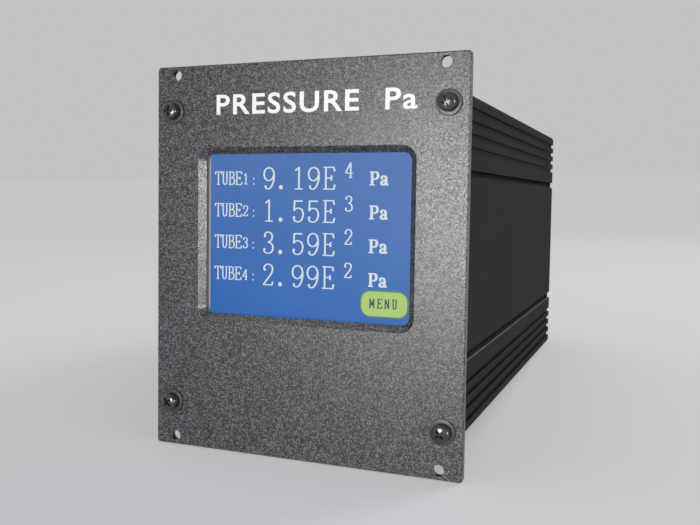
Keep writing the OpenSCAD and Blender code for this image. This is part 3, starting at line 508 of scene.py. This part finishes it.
def solder_mask():
    """Green solder mask on glass-epoxy: glossy lacquer, lighter where it lies over copper tracks."""
    material, tree, place = blank_material("Green solder mask on glass-epoxy")
    # Each patch of the board has its tracks side by side, along one of the board's edges
    patch = add(tree, "ShaderNodeTexVoronoi", {"distance": "CHEBYCHEV"}, {
        "Vector": place, "Scale": per_metre(9 * MM)})
    bundles = [add(tree, "ShaderNodeTexWave", {"bands_direction": axis}, {
        "Vector": place, "Scale": band_scale(1.27 * MM), "Detail": 0.0}).outputs["Fac"] for axis in "XYZ"]
    pick = add(tree, "ShaderNodeSeparateColor", inputs={"Color": patch.outputs["Color"]}).outputs[0]
    tracks = bundles[0]
    for bundle, above in zip(bundles[1:], (0.5, 0.75)):
        tracks = add(tree, "ShaderNodeMix", inputs={
            0: calc(tree, "GREATER_THAN", pick, above), 2: tracks, 3: bundle}).outputs[0]
    copper = ramp(tree, tracks, low=0.0, high=1.0, start=0.6, stop=0.75)
    return surfaced(material, tree, {
        "Base Color": blend(tree, copper, linear("0f5431"), linear("1d7446")), "Roughness": 0.3,
        "Normal": bump(tree, copper, strength=0.3, depth=0.035 * MM)})


def fuse_glass():
    """Glass tube of the fuse: clear, faintly green, with drawn lines along it."""
    material, tree, place = blank_material("Drawn glass tube")
    lines = noise(tree, mapped(tree, place, Scale=(1, 0.05, 1)), 0.4 * MM)
    return surfaced(material, tree, {
        "Base Color": linear("e6f2ec"), "Roughness": ramp(tree, lines, low=0.02, high=0.08, start=0.0, stop=1.0),
        "IOR": 1.5, "Transmission Weight": 0.85})


# Figures of the display, drawn with a flat pen on a grid ten units high: lines, smooth curves and round dots

GLYPH_GRID = 10
DOT_CORNERS = 20

GLYPHS = {
    "1": {"lines": [[(1.3, 8.4), (3.1, 9.8)], [(3.1, 9.9), (3.1, 0.2)], [(1.2, 0.2), (5.0, 0.2)]]},
    "2": {"curves": [[(0.9, 7.2), (0.9, 8.5), (1.9, 9.7), (3.2, 9.85), (4.7, 9.1), (5.1, 7.5), (4.5, 5.7),
                      (3.1, 3.7), (1.7, 2.0), (0.5, 0.4)]],
          "lines": [[(0.4, 0.4), (4.9, 0.4)], [(4.8, 0.3), (5.2, 1.9)]], "dots": [(1.25, 7.3, 0.55)]},
    "3": {"curves": [[(0.9, 8.0), (1.4, 9.3), (2.8, 9.85), (4.3, 9.2), (4.8, 7.7), (4.1, 6.0), (2.6, 5.3)],
                     [(2.6, 5.3), (4.4, 4.6), (5.2, 2.8), (4.5, 0.9), (2.8, 0.15), (1.2, 0.6), (0.6, 1.9)]],
          "dots": [(1.2, 7.9, 0.5), (0.95, 2.0, 0.55)]},
    "4": {"lines": [[(3.8, 9.8), (0.4, 3.1)], [(0.3, 3.0), (5.4, 3.0)], [(3.9, 9.8), (3.9, 0.2)],
                    [(2.7, 0.2), (5.1, 0.2)]]},
    "5": {"lines": [[(1.0, 9.55), (4.9, 9.55)], [(1.0, 9.4), (5.0, 9.4)], [(1.15, 9.7), (0.85, 5.1)]],
          "curves": [[(0.85, 5.1), (1.7, 6.0), (3.0, 6.3), (4.6, 5.6), (5.3, 3.5), (4.6, 1.1), (2.9, 0.15),
                      (1.3, 0.6), (0.6, 1.9)]], "dots": [(0.95, 2.1, 0.6)]},
    "9": {"curves": [[(2.9, 9.85), (1.2, 9.0), (0.45, 7.0), (1.0, 4.9), (2.6, 3.9), (4.3, 4.6), (5.3, 6.4)],
                     [(2.9, 9.85), (4.7, 8.9), (5.4, 6.4), (5.1, 3.6), (4.2, 1.4), (2.9, 0.2), (1.7, 0.3),
                      (1.0, 1.1)]], "dots": [(1.2, 1.3, 0.55)]},
    ".": {"dots": [(1.55, 0.95, 0.98)]},
    ":": {"dots": [(1.9, 6.1, 0.75), (1.9, 1.2, 0.75)]},
    "E": {"lines": [[(1.4, 9.8), (1.4, 0.2)], [(0.2, 9.8), (5.1, 9.8)], [(5.1, 9.9), (5.5, 8.0)],
                    [(1.4, 5.1), (4.0, 5.1)], [(4.0, 6.2), (4.0, 4.0)], [(0.2, 0.2), (5.2, 0.2)],
                    [(5.2, 0.1), (5.7, 2.2)]]},
    "T": {"lines": [[(2.7, 9.8), (2.7, 0.2)], [(0.3, 9.8), (5.1, 9.8)], [(0.3, 9.9), (0.1, 8.0)],
                    [(5.1, 9.9), (5.3, 8.0)], [(1.6, 0.2), (3.8, 0.2)]]},
    "U": {"lines": [[(1.2, 9.8), (1.2, 3.0)], [(4.3, 9.8), (4.3, 3.0)], [(0.2, 9.8), (2.2, 9.8)],
                    [(3.5, 9.8), (5.1, 9.8)]],
          "curves": [[(1.2, 3.1), (1.6, 1.0), (2.75, 0.25), (3.9, 1.0), (4.3, 3.1)]]},
    "B": {"lines": [[(1.3, 9.8), (1.3, 0.2)], [(0.2, 9.8), (3.1, 9.8)], [(1.3, 5.3), (3.1, 5.3)],
                    [(0.2, 0.2), (3.1, 0.2)]],
          "curves": [[(3.0, 9.8), (4.3, 8.9), (4.3, 6.4), (3.0, 5.3)],
                     [(3.0, 5.3), (4.9, 4.2), (4.9, 1.3), (3.0, 0.2)]]},
    "M": {"lines": [[(0.7, 9.8), (0.7, 0.2)], [(4.7, 9.8), (4.7, 0.2)], [(0.7, 9.8), (2.7, 2.4)],
                    [(4.7, 9.8), (2.7, 2.4)], [(0.0, 0.2), (1.4, 0.2)], [(4.0, 0.2), (5.4, 0.2)]]},
    "N": {"lines": [[(0.9, 9.8), (0.9, 0.2)], [(4.5, 9.8), (4.5, 0.2)], [(0.9, 9.8), (4.5, 0.4)],
                    [(0.2, 0.2), (1.7, 0.2)], [(3.8, 9.8), (5.2, 9.8)]]},
    "Pa": {"lines": [[(2.2, 9.7), (2.2, 0.2)], [(0.3, 0.35), (4.2, 0.35)], [(0.3, 9.6), (4.0, 9.6)],
                     [(2.2, 4.5), (4.2, 4.5)], [(12.7, 5.0), (12.7, 1.0)]],
           "curves": [[(3.8, 9.6), (5.8, 9.2), (6.6, 7.1), (5.8, 5.0), (3.8, 4.5)],
                      [(9.3, 5.2), (10.0, 6.4), (11.4, 6.6), (12.6, 5.6), (12.7, 4.6)],
                      [(12.6, 3.9), (10.7, 3.2), (9.4, 2.2), (9.4, 1.0), (10.5, 0.3), (11.7, 0.7), (12.6, 1.7)],
                      [(12.7, 1.4), (13.2, 0.5), (14.6, 0.7)]],
           "dots": [(9.6, 5.0, 0.9)]},
}


# Where a text stands and how its pen is cut: left end, rise over the row's foot, height, step from one glyph to
# the next, and widths of the pen's thin and thick strokes
Pen = namedtuple("Pen", "left rise height step thin thick")


def pen(left, rise, height, step, thin, thick):
    """A pen whose sizes are given in mm."""
    return Pen(*(size * MM for size in (left, rise, height, step, thin, thick)))


# The reading's height and step are set in the sidebar, and a text of one glyph has no step
READING = pen(-15.3, 0, 0, 0, 0.37, 0.6)
EXPONENT = pen(13.15, 3.75, 4.85, 0, 0.32, 0.5)
LABEL = pen(-33.1, 1.4, 4.4, 2.5, 0.3, 0.46)
NUMBER = pen(-22.7, 1.6, 3.5, 0, 0.28, 0.42)
COLON = pen(-19.4, 1.3, 3.5, 0, 0.3, 0.3)
UNIT = pen(21.2, 1.4, 4.3, 0, 0.4, 0.88)
BUTTON = pen(21.9, -13.6, 3.0, 2.45, 0.3, 0.42)


def smooth_line(points, steps=6):
    """A smooth line through the points."""
    ends = [points[0]] + list(points) + [points[-1]]
    line = []
    for a, b, c, d in zip(ends, ends[1:], ends[2:], ends[3:]):
        for k in range(steps):
            t = k / steps
            line.append([0.5 * (2 * q + (r - p) * t + (2 * p - 5 * q + 4 * r - s) * t * t
                                + (3 * q - p - 3 * r + s) * t ** 3) for p, q, r, s in zip(a, b, c, d)])
    return line + [list(points[-1])]


def film(mesh, outline, depth):
    """Adds a thin closed film with this outline in X and Z, its front face at this depth."""
    rings = [[mesh.verts.new((x, depth + back, z)) for x, z in outline] for back in (0, FILM)]
    mesh.faces.new(rings[0])
    mesh.faces.new(rings[1][::-1])
    for k in range(len(outline)):
        mesh.faces.new((rings[0][k - 1], rings[0][k], rings[1][k], rings[1][k - 1]))


def pen_outline(line, thin, thick):
    """Outline of a line drawn with a flat pen: wide on its way up or down, thin on its way across."""
    sides = [], []
    for i, point in enumerate(line):
        before, after = Vector(line[max(i - 1, 0)]), Vector(line[min(i + 1, len(line) - 1)])
        way = (after - before).normalized()
        half = (thin + (thick - thin) * abs(way.y)) / 2
        for side, turned in zip(sides, (1, -1)):
            side.append(Vector(point) + Vector((-way.y, way.x)) * half * turned)
    return sides[0] + sides[1][::-1]


def write(mesh, text, nib, foot, depth):
    """Writes text into a mesh in the display's plane, one glyph for each step of the pen."""
    unit = nib.height / GLYPH_GRID
    turn = [2 * math.pi * k / DOT_CORNERS for k in range(DOT_CORNERS)]
    for i, name in enumerate(text):
        glyph = GLYPHS[name]
        lines = glyph.get("lines", []) + [smooth_line(points) for points in glyph.get("curves", [])]
        outlines = [pen_outline(line, nib.thin / unit, nib.thick / unit) for line in lines]
        for x, y, r in glyph.get("dots", []):
            outlines.append([(x + r * math.cos(a), y + r * math.sin(a)) for a in turn])
        left, base = nib.left + i * nib.step, foot + nib.rise
        for outline in outlines:
            film(mesh, [(left + x * unit, base + y * unit) for x, y in outline], depth)


def drawing(name, mesh, material):
    """Keeps a drawn mesh as a piece of the display."""
    bmesh.ops.recalc_face_normals(mesh, faces=mesh.faces)
    bmesh.ops.triangulate(mesh, faces=mesh.faces)
    flat = bpy.data.meshes.new(name)
    mesh.to_mesh(flat)
    mesh.free()
    return keep_mesh(name, flat, material)


def round_plate(mesh, low, high, radius, depth):
    """Draws a flat rectangle with round corners in the display's plane."""
    points = []
    steps = 8
    left, right, foot, top = low[0] + radius, high[0] - radius, low[1] + radius, high[1] - radius
    for i, (x, z) in enumerate([(right, top), (left, top), (left, foot), (right, foot)]):
        for k in range(steps + 1):
            a = math.pi / 2 * (i + k / steps)
            points.append((x + radius * math.cos(a), z + radius * math.sin(a)))
    film(mesh, points, depth)


# The pieces

class GAUGE_OT_coat_panel(bpy.types.Operator):
    """Coats the front panel"""

    bl_idname = "gauge.coat_panel"
    bl_label = "Coat the front panel"

    def execute(self, context):
        finish(powder_coat(context.scene.gauge_finishes), "front_panel")
        return {"FINISHED"}


class GAUGE_OT_dye_case(bpy.types.Operator):
    """Anodises the covers, the side plates and the rear panel"""

    bl_idname = "gauge.dye_case"
    bl_label = "Anodise the case"

    def execute(self, context):
        sizes = context.scene.gauge_finishes
        # Lines run along the extrusions and across the sheet
        drawn = anodised("Black anodised aluminium, extruded", sizes.case, sizes.case_streak, (1, 0.006, 1))
        finish(drawn, "top_cover", "bottom_cover", "left_side_plate", "right_side_plate")
        brushed = anodised("Black anodised aluminium, brushed sheet", sizes.case, 0.25 * MM, (0.02, 1, 1))
        finish(brushed, "rear_panel")
        return {"FINISHED"}


class GAUGE_OT_set_screws(bpy.types.Operator):
    """Sets the panel screws with their spring and flat washers, and the rear screws"""

    bl_idname = "gauge.set_screws"
    bl_label = "Set the screws"

    def execute(self, context):
        s = context.scene.gauge_screws
        tint = context.scene.gauge_finishes.fastener
        zinc = black_zinc("Black zinc-plated steel", tint, glossiest=0.16, dullest=0.32, seal=0.4)
        dull_zinc = black_zinc("Black zinc-plated spring steel", tint, glossiest=0.34, dullest=0.5, seal=0.08)
        spread = {"Spread across": s.spread_x, "Spread up": s.spread_z}
        head = {**spread, "Head diameter": s.head_diameter, "Head height": s.head_height, "Dome": s.head_dome,
                "Recess length": s.recess_length, "Recess width": s.recess_width,
                "Recess depth": s.recess_depth, "Thread diameter": s.thread_diameter,
                "Thread length": s.thread_length}
        tree = self.screw_tree(zinc, head)
        front = run_tree("pan_head_screws", tree, {**head, "Seat": SPRING_LOW.y, "Turn": 0})
        attach(front, "black_fasteners", "panel_screws")
        rear = run_tree("rear_pan_head_screws", tree, {**head, "Seat": REAR_HIGH.y, "Turn": math.pi})
        attach(rear, "black_fasteners", "rear_screws")
        flat = {**spread, "Outside": s.washer_diameter, "Bore": s.washer_bore,
                "Thickness": WASHER_HIGH.y - WASHER_LOW.y, "Round": 0.15 * MM}
        washers = run_tree("plain_washers", self.washer_tree(dull_zinc, flat),
                           {**flat, "Seat": WASHER_HIGH.y, "Turn": 0})
        attach(washers, "black_fasteners", "flat_washers")
        lift = 0.04 * MM
        split = {**spread, "Outside": s.spring_diameter, "Bore": s.spring_bore,
                 "Thickness": SPRING_HIGH.y - SPRING_LOW.y - lift, "Round": 0.12 * MM, "Lift": lift,
                 "Share": 0.95}
        springs = run_tree("split_washers", self.spring_tree(dull_zinc, split),
                           {**split, "Seat": SPRING_HIGH.y, "Turn": 0})
        attach(springs, "black_fasteners", "spring_washers")
        return {"FINISHED"}

    def screw_tree(self, material, sizes):
        """A pan head with a cross recess on a plain thread, at the four corners."""
        tree, size = new_tree("pan_head_screw", [*sizes, "Seat", "Turn"])
        radius = calc(tree, "MULTIPLY", size["Head diameter"], 0.5)
        blank = add(tree, "GeometryNodeMeshCylinder", inputs={
            "Vertices": 48, "Side Segments": 1, "Fill Segments": 10, "Radius": radius, "Depth": size["Head height"]})
        # The crown falls to the edge on a shallow arc, for a little over half the dome, and the edge is rounded off
        here = parts_of(tree, add(tree, "GeometryNodeInputPosition").outputs[0])
        away = add(tree, "ShaderNodeVectorMath", {"operation": "LENGTH"}, {0: xyz(tree, X=here["X"], Y=here["Y"])})
        share = calc(tree, "DIVIDE", away.outputs["Value"], radius)
        edge = calc(tree, "MULTIPLY", calc(tree, "POWER", share, 14.0), 0.45)
        both = calc(tree, "MULTIPLY_ADD", calc(tree, "POWER", share, 2.0), 0.55, edge)
        fall = calc(tree, "MULTIPLY", both, size["Dome"])
        head = add(tree, "GeometryNodeSetPosition", inputs={
            "Geometry": blank.outputs["Mesh"], "Selection": blank.outputs["Top"],
            "Offset": xyz(tree, Z=calc(tree, "MULTIPLY", fall, -1.0))})
        # Two tapered wings make the cross
        wing = add(tree, "GeometryNodeMeshCone", inputs={
            "Vertices": 4, "Radius Top": 0.72, "Radius Bottom": 0.42, "Depth": size["Recess depth"]})
        square = moved(tree, wing.outputs["Mesh"], Rotation=(0, 0, math.pi / 4))
        half = calc(tree, "MULTIPLY", size["Head height"], 0.5)
        along = moved(tree, square, Scale=xyz(tree, X=size["Recess length"], Y=size["Recess width"], Z=1.0),
                      Translation=xyz(tree, Z=calc(tree, "SUBTRACT", half, size["Recess depth"])))
        crossing = moved(tree, along, Rotation=(0, 0, math.pi / 2))
        cut = add(tree, "GeometryNodeMeshBoolean", {"operation": "DIFFERENCE", "solver": "EXACT"}, {
            0: head.outputs[0], 1: [along, crossing]})
        seated = moved(tree, cut.outputs[0], Translation=xyz(tree, Z=half))
        shank = add(tree, "GeometryNodeMeshCylinder", inputs={
            "Vertices": 32, "Radius": calc(tree, "MULTIPLY", size["Thread diameter"], 0.5),
            "Depth": size["Thread length"]})
        # The thread hangs from the seat and runs just into the head
        thread = moved(tree, shank.outputs["Mesh"],
                       Translation=xyz(tree, Z=calc(tree, "MULTIPLY", size["Thread length"], -0.499)))
        whole = add(tree, "GeometryNodeJoinGeometry", inputs={0: [seated, thread]})
        set_at_corners(tree, size, whole.outputs[0], material, math.pi / 2)
        return tree

    def ring_profile(self, tree, size):
        """A rounded section for a washer, and the radius of its middle."""
        band = calc(tree, "MULTIPLY", calc(tree, "SUBTRACT", size["Outside"], size["Bore"]), 0.5)
        outline = add(tree, "GeometryNodeCurvePrimitiveQuadrilateral", inputs={
            "Width": band, "Height": size["Thickness"]})
        soft = add(tree, "GeometryNodeFilletCurve", {"mode": "POLY"}, {
            "Curve": outline.outputs[0], "Count": 3, "Radius": size["Round"]})
        middle = calc(tree, "MULTIPLY", calc(tree, "ADD", size["Outside"], size["Bore"]), 0.25)
        return soft.outputs[0], middle

    def sweep(self, tree, size, path, profile, material, turned):
        """Sweeps a washer's section along its path, lifts it onto its seat and sets it at the corners."""
        level = add(tree, "GeometryNodeSetCurveNormal", {"mode": "Z_UP"}, {"Curve": path})
        ring = add(tree, "GeometryNodeCurveToMesh", inputs={
            "Curve": level.outputs[0], "Profile Curve": profile, "Fill Caps": True})
        lift = xyz(tree, Z=calc(tree, "MULTIPLY", size["Thickness"], 0.5))
        set_at_corners(tree, size, moved(tree, ring.outputs[0], Translation=lift), material, turned)
        return tree

    def washer_tree(self, material, sizes):
        """A stamped washer with rounded edges."""
        tree, size = new_tree("plain_washer", [*sizes, "Seat", "Turn"])
        profile, middle = self.ring_profile(tree, size)
        path = add(tree, "GeometryNodeCurvePrimitiveCircle", inputs={"Resolution": 64, "Radius": middle})
        return self.sweep(tree, size, path.outputs[0], profile, material, 0.0)

    def spring_tree(self, material, sizes):
        """A split ring, one end a little higher than the other."""
        tree, size = new_tree("split_washer", [*sizes, "Seat", "Turn"])
        profile, middle = self.ring_profile(tree, size)
        path = add(tree, "GeometryNodeCurveSpiral", inputs={
            "Resolution": 64, "Rotations": size["Share"], "Start Radius": middle, "End Radius": middle,
            "Height": size["Lift"]})
        return self.sweep(tree, size, path.outputs[0], profile, material, 2 * math.pi)


class GAUGE_OT_light_display(bpy.types.Operator):
    """Lights the display and draws its rows, its unit and its touch button"""

    bl_idname = "gauge.light_display"
    bl_label = "Light the display"

    def execute(self, context):
        s = context.scene.gauge_display
        finish(lit_crystal(s.low, s.high), "lcd_cell")
        finish(touch_glass(), "touch_panel")
        finish(bare_metal("Dull tinned sheet steel", "d2d2d4", 0.6 * MM, 0.5, bare=0.3), "lcd_frame")
        finish(moulded("Closed-cell foam", linear("232325"), 0.5 * MM, 0.9, 0.15 * MM), "window_gasket")
        # The films lie one in front of the other: the button's rim, the button and the figures, the button's word
        depth = CELL_LOW.y - 3 * FILM
        reading = READING._replace(height=s.digit_height, step=s.cell)
        rows, units = bmesh.new(), bmesh.new()
        for i, (mantissa, exponent) in enumerate(zip(s.readings.split(), s.exponents.split())):
            foot = s.first_line - i * s.row_pitch
            for text, field in ((mantissa, reading), (exponent, EXPONENT), (s.label, LABEL), (str(i + 1), NUMBER),
                                (":", COLON)):
                write(rows, text, field, foot, depth)
            write(units, ["Pa"], UNIT, foot, depth)
        figures = lit_pixels("Lit white pixels", s.figures)
        for name, mesh in (("figures", rows), ("units", units)):
            attach(drawing(name, mesh, figures), "display_cell")
        low, high = Vector((19.2, -16.1)) * MM, Vector((34.1, -8.4)) * MM
        edge = Vector((0.4, 0.4)) * MM
        rim, key, word = bmesh.new(), bmesh.new(), bmesh.new()
        round_plate(rim, low - edge, high + edge, 3.2 * MM, depth + FILM)
        round_plate(key, low, high, 2.9 * MM, depth)
        write(word, s.button, BUTTON, 0, depth - FILM)
        for name, mesh, tint in (("button_rim", rim, s.key_rim), ("button", key, s.key),
                                 ("button_word", word, s.key_word)):
            pixels = lit_pixels(f"Lit pixels of the {name.replace('_', ' ')}", tint)
            attach(drawing(name, mesh, pixels), "display_cell")
        return {"FINISHED"}


class GAUGE_OT_print_legend(bpy.types.Operator):
    """Prints the measured quantity and its unit over the window"""

    bl_idname = "gauge.print_legend"
    bl_label = "Print the legend"

    def execute(self, context):
        s = context.scene.gauge_legend
        curve = bpy.data.curves.new("legend", "FONT")
        curve.body = s.words
        curve.align_x = "CENTER"
        # Bold strokes, in shares of the font's own height
        curve.offset = 0.018
        curve.extrude = 0.01
        curve.space_character = 1.12
        curve.resolution_u = 4
        source = bpy.data.objects.new("legend_source", curve)
        bpy.context.scene.collection.objects.link(source)
        graph = bpy.context.evaluated_depsgraph_get()
        mesh = bpy.data.meshes.new_from_object(source.evaluated_get(graph), depsgraph=graph)
        bpy.data.objects.remove(source)
        bpy.data.curves.remove(curve)
        low = Vector([min(v.co[k] for v in mesh.vertices) for k in range(3)])
        high = Vector([max(v.co[k] for v in mesh.vertices) for k in range(3)])
        wide, tall = s.span / (high.x - low.x), s.height / (high.y - low.y)
        middle = (low.x + high.x) / 2
        for v in mesh.vertices:
            x, y, z = v.co
            face = PANEL_LOW.y - FILM if z > 0 else PANEL_LOW.y + FILM
            v.co = (s.middle_x + (x - middle) * wide, face, s.foot + (y - low.y) * tall)
        mesh.update()
        mesh.materials.clear()
        attach(keep_mesh("legend", mesh, screen_ink(s.ink)), "coated_panel")
        return {"FINISHED"}


class GAUGE_OT_finish_boards(bpy.types.Operator):
    """Finishes the boards and the parts on them inside the case"""

    bl_idname = "gauge.finish_boards"
    bl_label = "Finish the boards"

    def execute(self, context):
        finish(solder_mask(), "display_board", "main_board", "measuring_cards", "connector_board")
        epoxy = moulded("Black moulded epoxy", linear("1b1b1d"), 0.3 * MM, 0.5)
        finish(epoxy, "display_chips", "processor", "rectifier", "regulators", "card_amplifiers")
        nylon = moulded("Black glass-filled nylon", linear("141416"), 0.4 * MM, 0.45)
        finish(nylon, "display_header", "main_header", "ribbon_plugs", "card_sockets", "link_header")
        finish(bare_metal("Zinc-plated steel", "b4b6b8", 0.7 * MM, 0.35), "display_studs", "display_nuts")
        finish(bare_metal("Tinned spring brass", "c4c2ba", 0.4 * MM, 0.3), "fuse_clips")
        finish(fuse_glass(), "fuse")
        finish(banded("Grey ribbon cable", "7d7f82", "b9bbbd", 1.27 * MM, "X", 0.5), "ribbon_cable")
        finish(banded("Varnished core laminations", "2c2b2a", "55514d", 0.5 * MM, "Y", 0.45), "transformer_core")
        finish(banded("Taped copper winding", "b07a1e", "d8a743", 3 * MM, "Z", 0.4), "transformer_coil")
        finish(moulded("Blue shrink sleeve", linear("161d44"), 0.8 * MM, 0.3), "filter_capacitors")
        finish(moulded("Blue relay case", linear("24509a"), 0.5 * MM, 0.35), "relays")
        finish(bare_metal("Plain extruded aluminium", "bdbfc1", 0.4 * MM, 0.38, (1, 1, 0.02)), "heat_sink")
        return {"FINISHED"}


class GAUGE_OT_finish_sockets(bpy.types.Operator):
    """Finishes the gauge sockets, the terminals and the earth terminal at the rear"""

    bl_idname = "gauge.finish_sockets"
    bl_label = "Finish the rear sockets"

    def execute(self, context):
        nickel = bare_metal("Nickel-plated steel", "c9c7c2", 0.5 * MM, 0.24)
        finish(nickel, "gauge_shells", "jackscrews", "jack_nuts", "terminal_screws")
        finish(moulded("Black socket plastic", linear("151517"), 0.3 * MM, 0.4), "gauge_inserts")
        green = moulded("Green terminal plastic", context.scene.gauge_finishes.terminal, 0.35 * MM, 0.42)
        finish(green, "terminal_headers", "terminal_plugs")
        finish(bare_metal("Turned brass", "d0ab62", 0.25 * MM, 0.28, (1, 0.1, 1)),
               "earth_stud", "earth_washer", "earth_nuts")
        return {"FINISHED"}


class GAUGE_OT_set_stage(bpy.types.Operator):
    """Lays the floor, hangs the lamps and sets up the camera"""

    bl_idname = "gauge.set_stage"
    bl_label = "Set the stage"

    def execute(self, context):
        scene = context.scene
        s = scene.gauge_stage
        flagged = self.flag(self.lay_floor(s))
        self.light_room(s, scene)
        self.hang_lamp("front_lamp", s.key, size=(0.22, 0.24), beam=60, place=(-0.105, -0.85, 0.015),
                       aim=(0.03, 0, 0), flagged=flagged)
        self.hang_lamp("side_lamp", s.side, size=(0.3, 0.2), beam=70, place=(0.84, -0.47, 0.05),
                       aim=(0, 0.05, 0), flagged=flagged)
        self.hang_lamp("rear_lamp", s.rear, size=(0.5, 0.5), beam=70, place=(0.7, 0.95, 0.75),
                       aim=(0.02, 0.12, 0))
        self.hang_lamp("left_lamp", s.rear, size=(0.5, 0.5), beam=70, place=(-0.8, 0.6, 0.5),
                       aim=(-0.02, 0.12, 0), flagged=flagged)
        self.hang_lamp("top_lamp", s.top, size=(0.3, 0.3), beam=70, place=(-0.34, -0.16, 0.79),
                       aim=(0, 0, -0.03), flagged=flagged)
        self.set_camera(s, scene)
        scene.view_settings.view_transform = "Standard"
        return {"FINISHED"}

    def lay_floor(self, s):
        """A pale disc that the panel's foot and the case's rear edge stand on."""
        rise = (COVER_LOW.z - PANEL_LOW.z) / COVER_HIGH.y
        gap = 0.05 * MM
        mesh = bmesh.new()
        bmesh.ops.create_circle(mesh, cap_ends=True, segments=96, radius=4.0)
        for v in mesh.verts:
            v.co.z = PANEL_LOW.z - gap + rise * v.co.y
        flat = bpy.data.meshes.new("floor")
        mesh.to_mesh(flat)
        mesh.free()
        floor = keep_mesh("floor", flat, self.pale_paper(s))
        return floor

    def pale_paper(self, s):
        """Matt pale paper: faint fibres, and paler to the eye than it lights what stands on it."""
        material, tree, place = blank_material("Matt pale paper")
        fibre = noise(tree, place, 0.8 * MM, detail=3.0)
        paper = tinted(tree, tuple(s.floor), ramp(tree, fibre, low=0.97, high=1.0))
        return surfaced(material, tree, {
            "Base Color": paper, "Roughness": 0.9, "Specular IOR Level": 0.1, "Emission Color": paper,
            "Emission Strength": calc(tree, "MULTIPLY", self.seen_directly(tree), s.pale)})

    def flag(self, floor):
        """A list that keeps low lamps off the floor, as a flag in front of a lamp does."""
        flagged = bpy.data.collections.new("flagged_floor")
        flagged.objects.link(floor)
        flagged.collection_objects[0].light_linking.link_state = "EXCLUDE"
        return flagged

    def seen_directly(self, tree):
        """One for rays of the camera, of gloss and of clear glass, so that only these see the pale surround."""
        path = add(tree, "ShaderNodeLightPath").outputs
        eye = calc(tree, "MAXIMUM", path["Is Camera Ray"], path["Is Transmission Ray"])
        return calc(tree, "MAXIMUM", eye, path["Is Glossy Ray"])

    def light_room(self, s, scene):
        """A pale surround that fills the shadows softly."""
        world = bpy.data.worlds.new("studio")
        scene.world = world
        world.use_nodes = True
        tree = world.node_tree
        tree.nodes.clear()
        far_floor = (s.fill + s.pale) * s.floor[0]
        strength = ramp(tree, self.seen_directly(tree), low=s.fill, high=far_floor, start=0.0, stop=1.0)
        glow = add(tree, "ShaderNodeBackground", inputs={"Color": tuple(s.sky), "Strength": strength})
        add(tree, "ShaderNodeOutputWorld", inputs={"Surface": glow.outputs[0]})

    def hang_lamp(self, name, watts, size, beam, place, aim, flagged=None):
        """A soft box with a grid that looks at a point, kept off what is flagged."""
        data = bpy.data.lights.new(name, "AREA")
        data.energy = watts
        data.shape = "RECTANGLE"
        data.size, data.size_y = size
        data.spread = math.radians(beam)
        lamp = bpy.data.objects.new(name, data)
        bpy.context.scene.collection.objects.link(lamp)
        lamp.light_linking.receiver_collection = flagged
        lamp.location = place
        lamp.rotation_euler = (Vector(aim) - Vector(place)).to_track_quat("-Z", "Y").to_euler()

    def set_camera(self, s, scene):
        """The view of the photograph: from the right, a little above the middle."""
        data = bpy.data.cameras.new("camera")
        data.sensor_width = 36
        data.lens = s.lens
        data.shift_x, data.shift_y = s.shift
        data.clip_start = 0.01
        camera = bpy.data.objects.new("camera", data)
        scene.collection.objects.link(camera)
        forward = Vector((-math.sin(s.yaw) * math.cos(s.pitch), math.cos(s.yaw) * math.cos(s.pitch),
                          -math.sin(s.pitch)))
        right = Vector((math.cos(s.yaw), math.sin(s.yaw), 0))
        up = right.cross(forward)
        level = Matrix.Rotation(s.roll, 3, -forward)
        turned = Matrix((level @ right, level @ up, -forward)).transposed()
        camera.matrix_world = Matrix.Translation(s.eye) @ turned.to_4x4()
        scene.camera = camera


STEPS = [GAUGE_OT_coat_panel, GAUGE_OT_dye_case, GAUGE_OT_set_screws, GAUGE_OT_light_display, GAUGE_OT_print_legend,
         GAUGE_OT_finish_boards, GAUGE_OT_finish_sockets, GAUGE_OT_set_stage]
GROUPS = {"gauge_finishes": GaugeFinishes, "gauge_screws": GaugeScrews, "gauge_display": GaugeDisplay,
          "gauge_legend": GaugeLegend, "gauge_stage": GaugeStage}


class GAUGE_PT_build(bpy.types.Panel):
    """Lists the steps and the values that they use"""

    bl_idname = "GAUGE_PT_build"
    bl_label = "Vacuum gauge indicator"
    bl_space_type = "VIEW_3D"
    bl_region_type = "UI"
    bl_category = "Gauge"

    def draw(self, context):
        layout = self.layout
        for step in STEPS:
            layout.operator(step.bl_idname)
        for name, group in GROUPS.items():
            box = layout.box()
            box.label(text=group.__doc__)
            for value in group.__annotations__:
                box.prop(getattr(context.scene, name), value)


def register():
    for group in GROUPS.values():
        bpy.utils.register_class(group)
    for step in STEPS:
        bpy.utils.register_class(step)
    bpy.utils.register_class(GAUGE_PT_build)
    for name, group in GROUPS.items():
        setattr(bpy.types.Scene, name, PointerProperty(type=group))


def unregister():
    for name in GROUPS:
        delattr(bpy.types.Scene, name)
    bpy.utils.unregister_class(GAUGE_PT_build)
    for step in reversed(STEPS):
        bpy.utils.unregister_class(step)
    for group in GROUPS.values():
        bpy.utils.unregister_class(group)


def main():
    """Builds the dressed gauge on its stage."""
    register()
    bpy.ops.gauge.coat_panel()
    bpy.ops.gauge.dye_case()
    bpy.ops.gauge.set_screws()
    bpy.ops.gauge.light_display()
    bpy.ops.gauge.print_legend()
    bpy.ops.gauge.finish_boards()
    bpy.ops.gauge.finish_sockets()
    bpy.ops.gauge.set_stage()


if __name__ == "__main__":
    main()
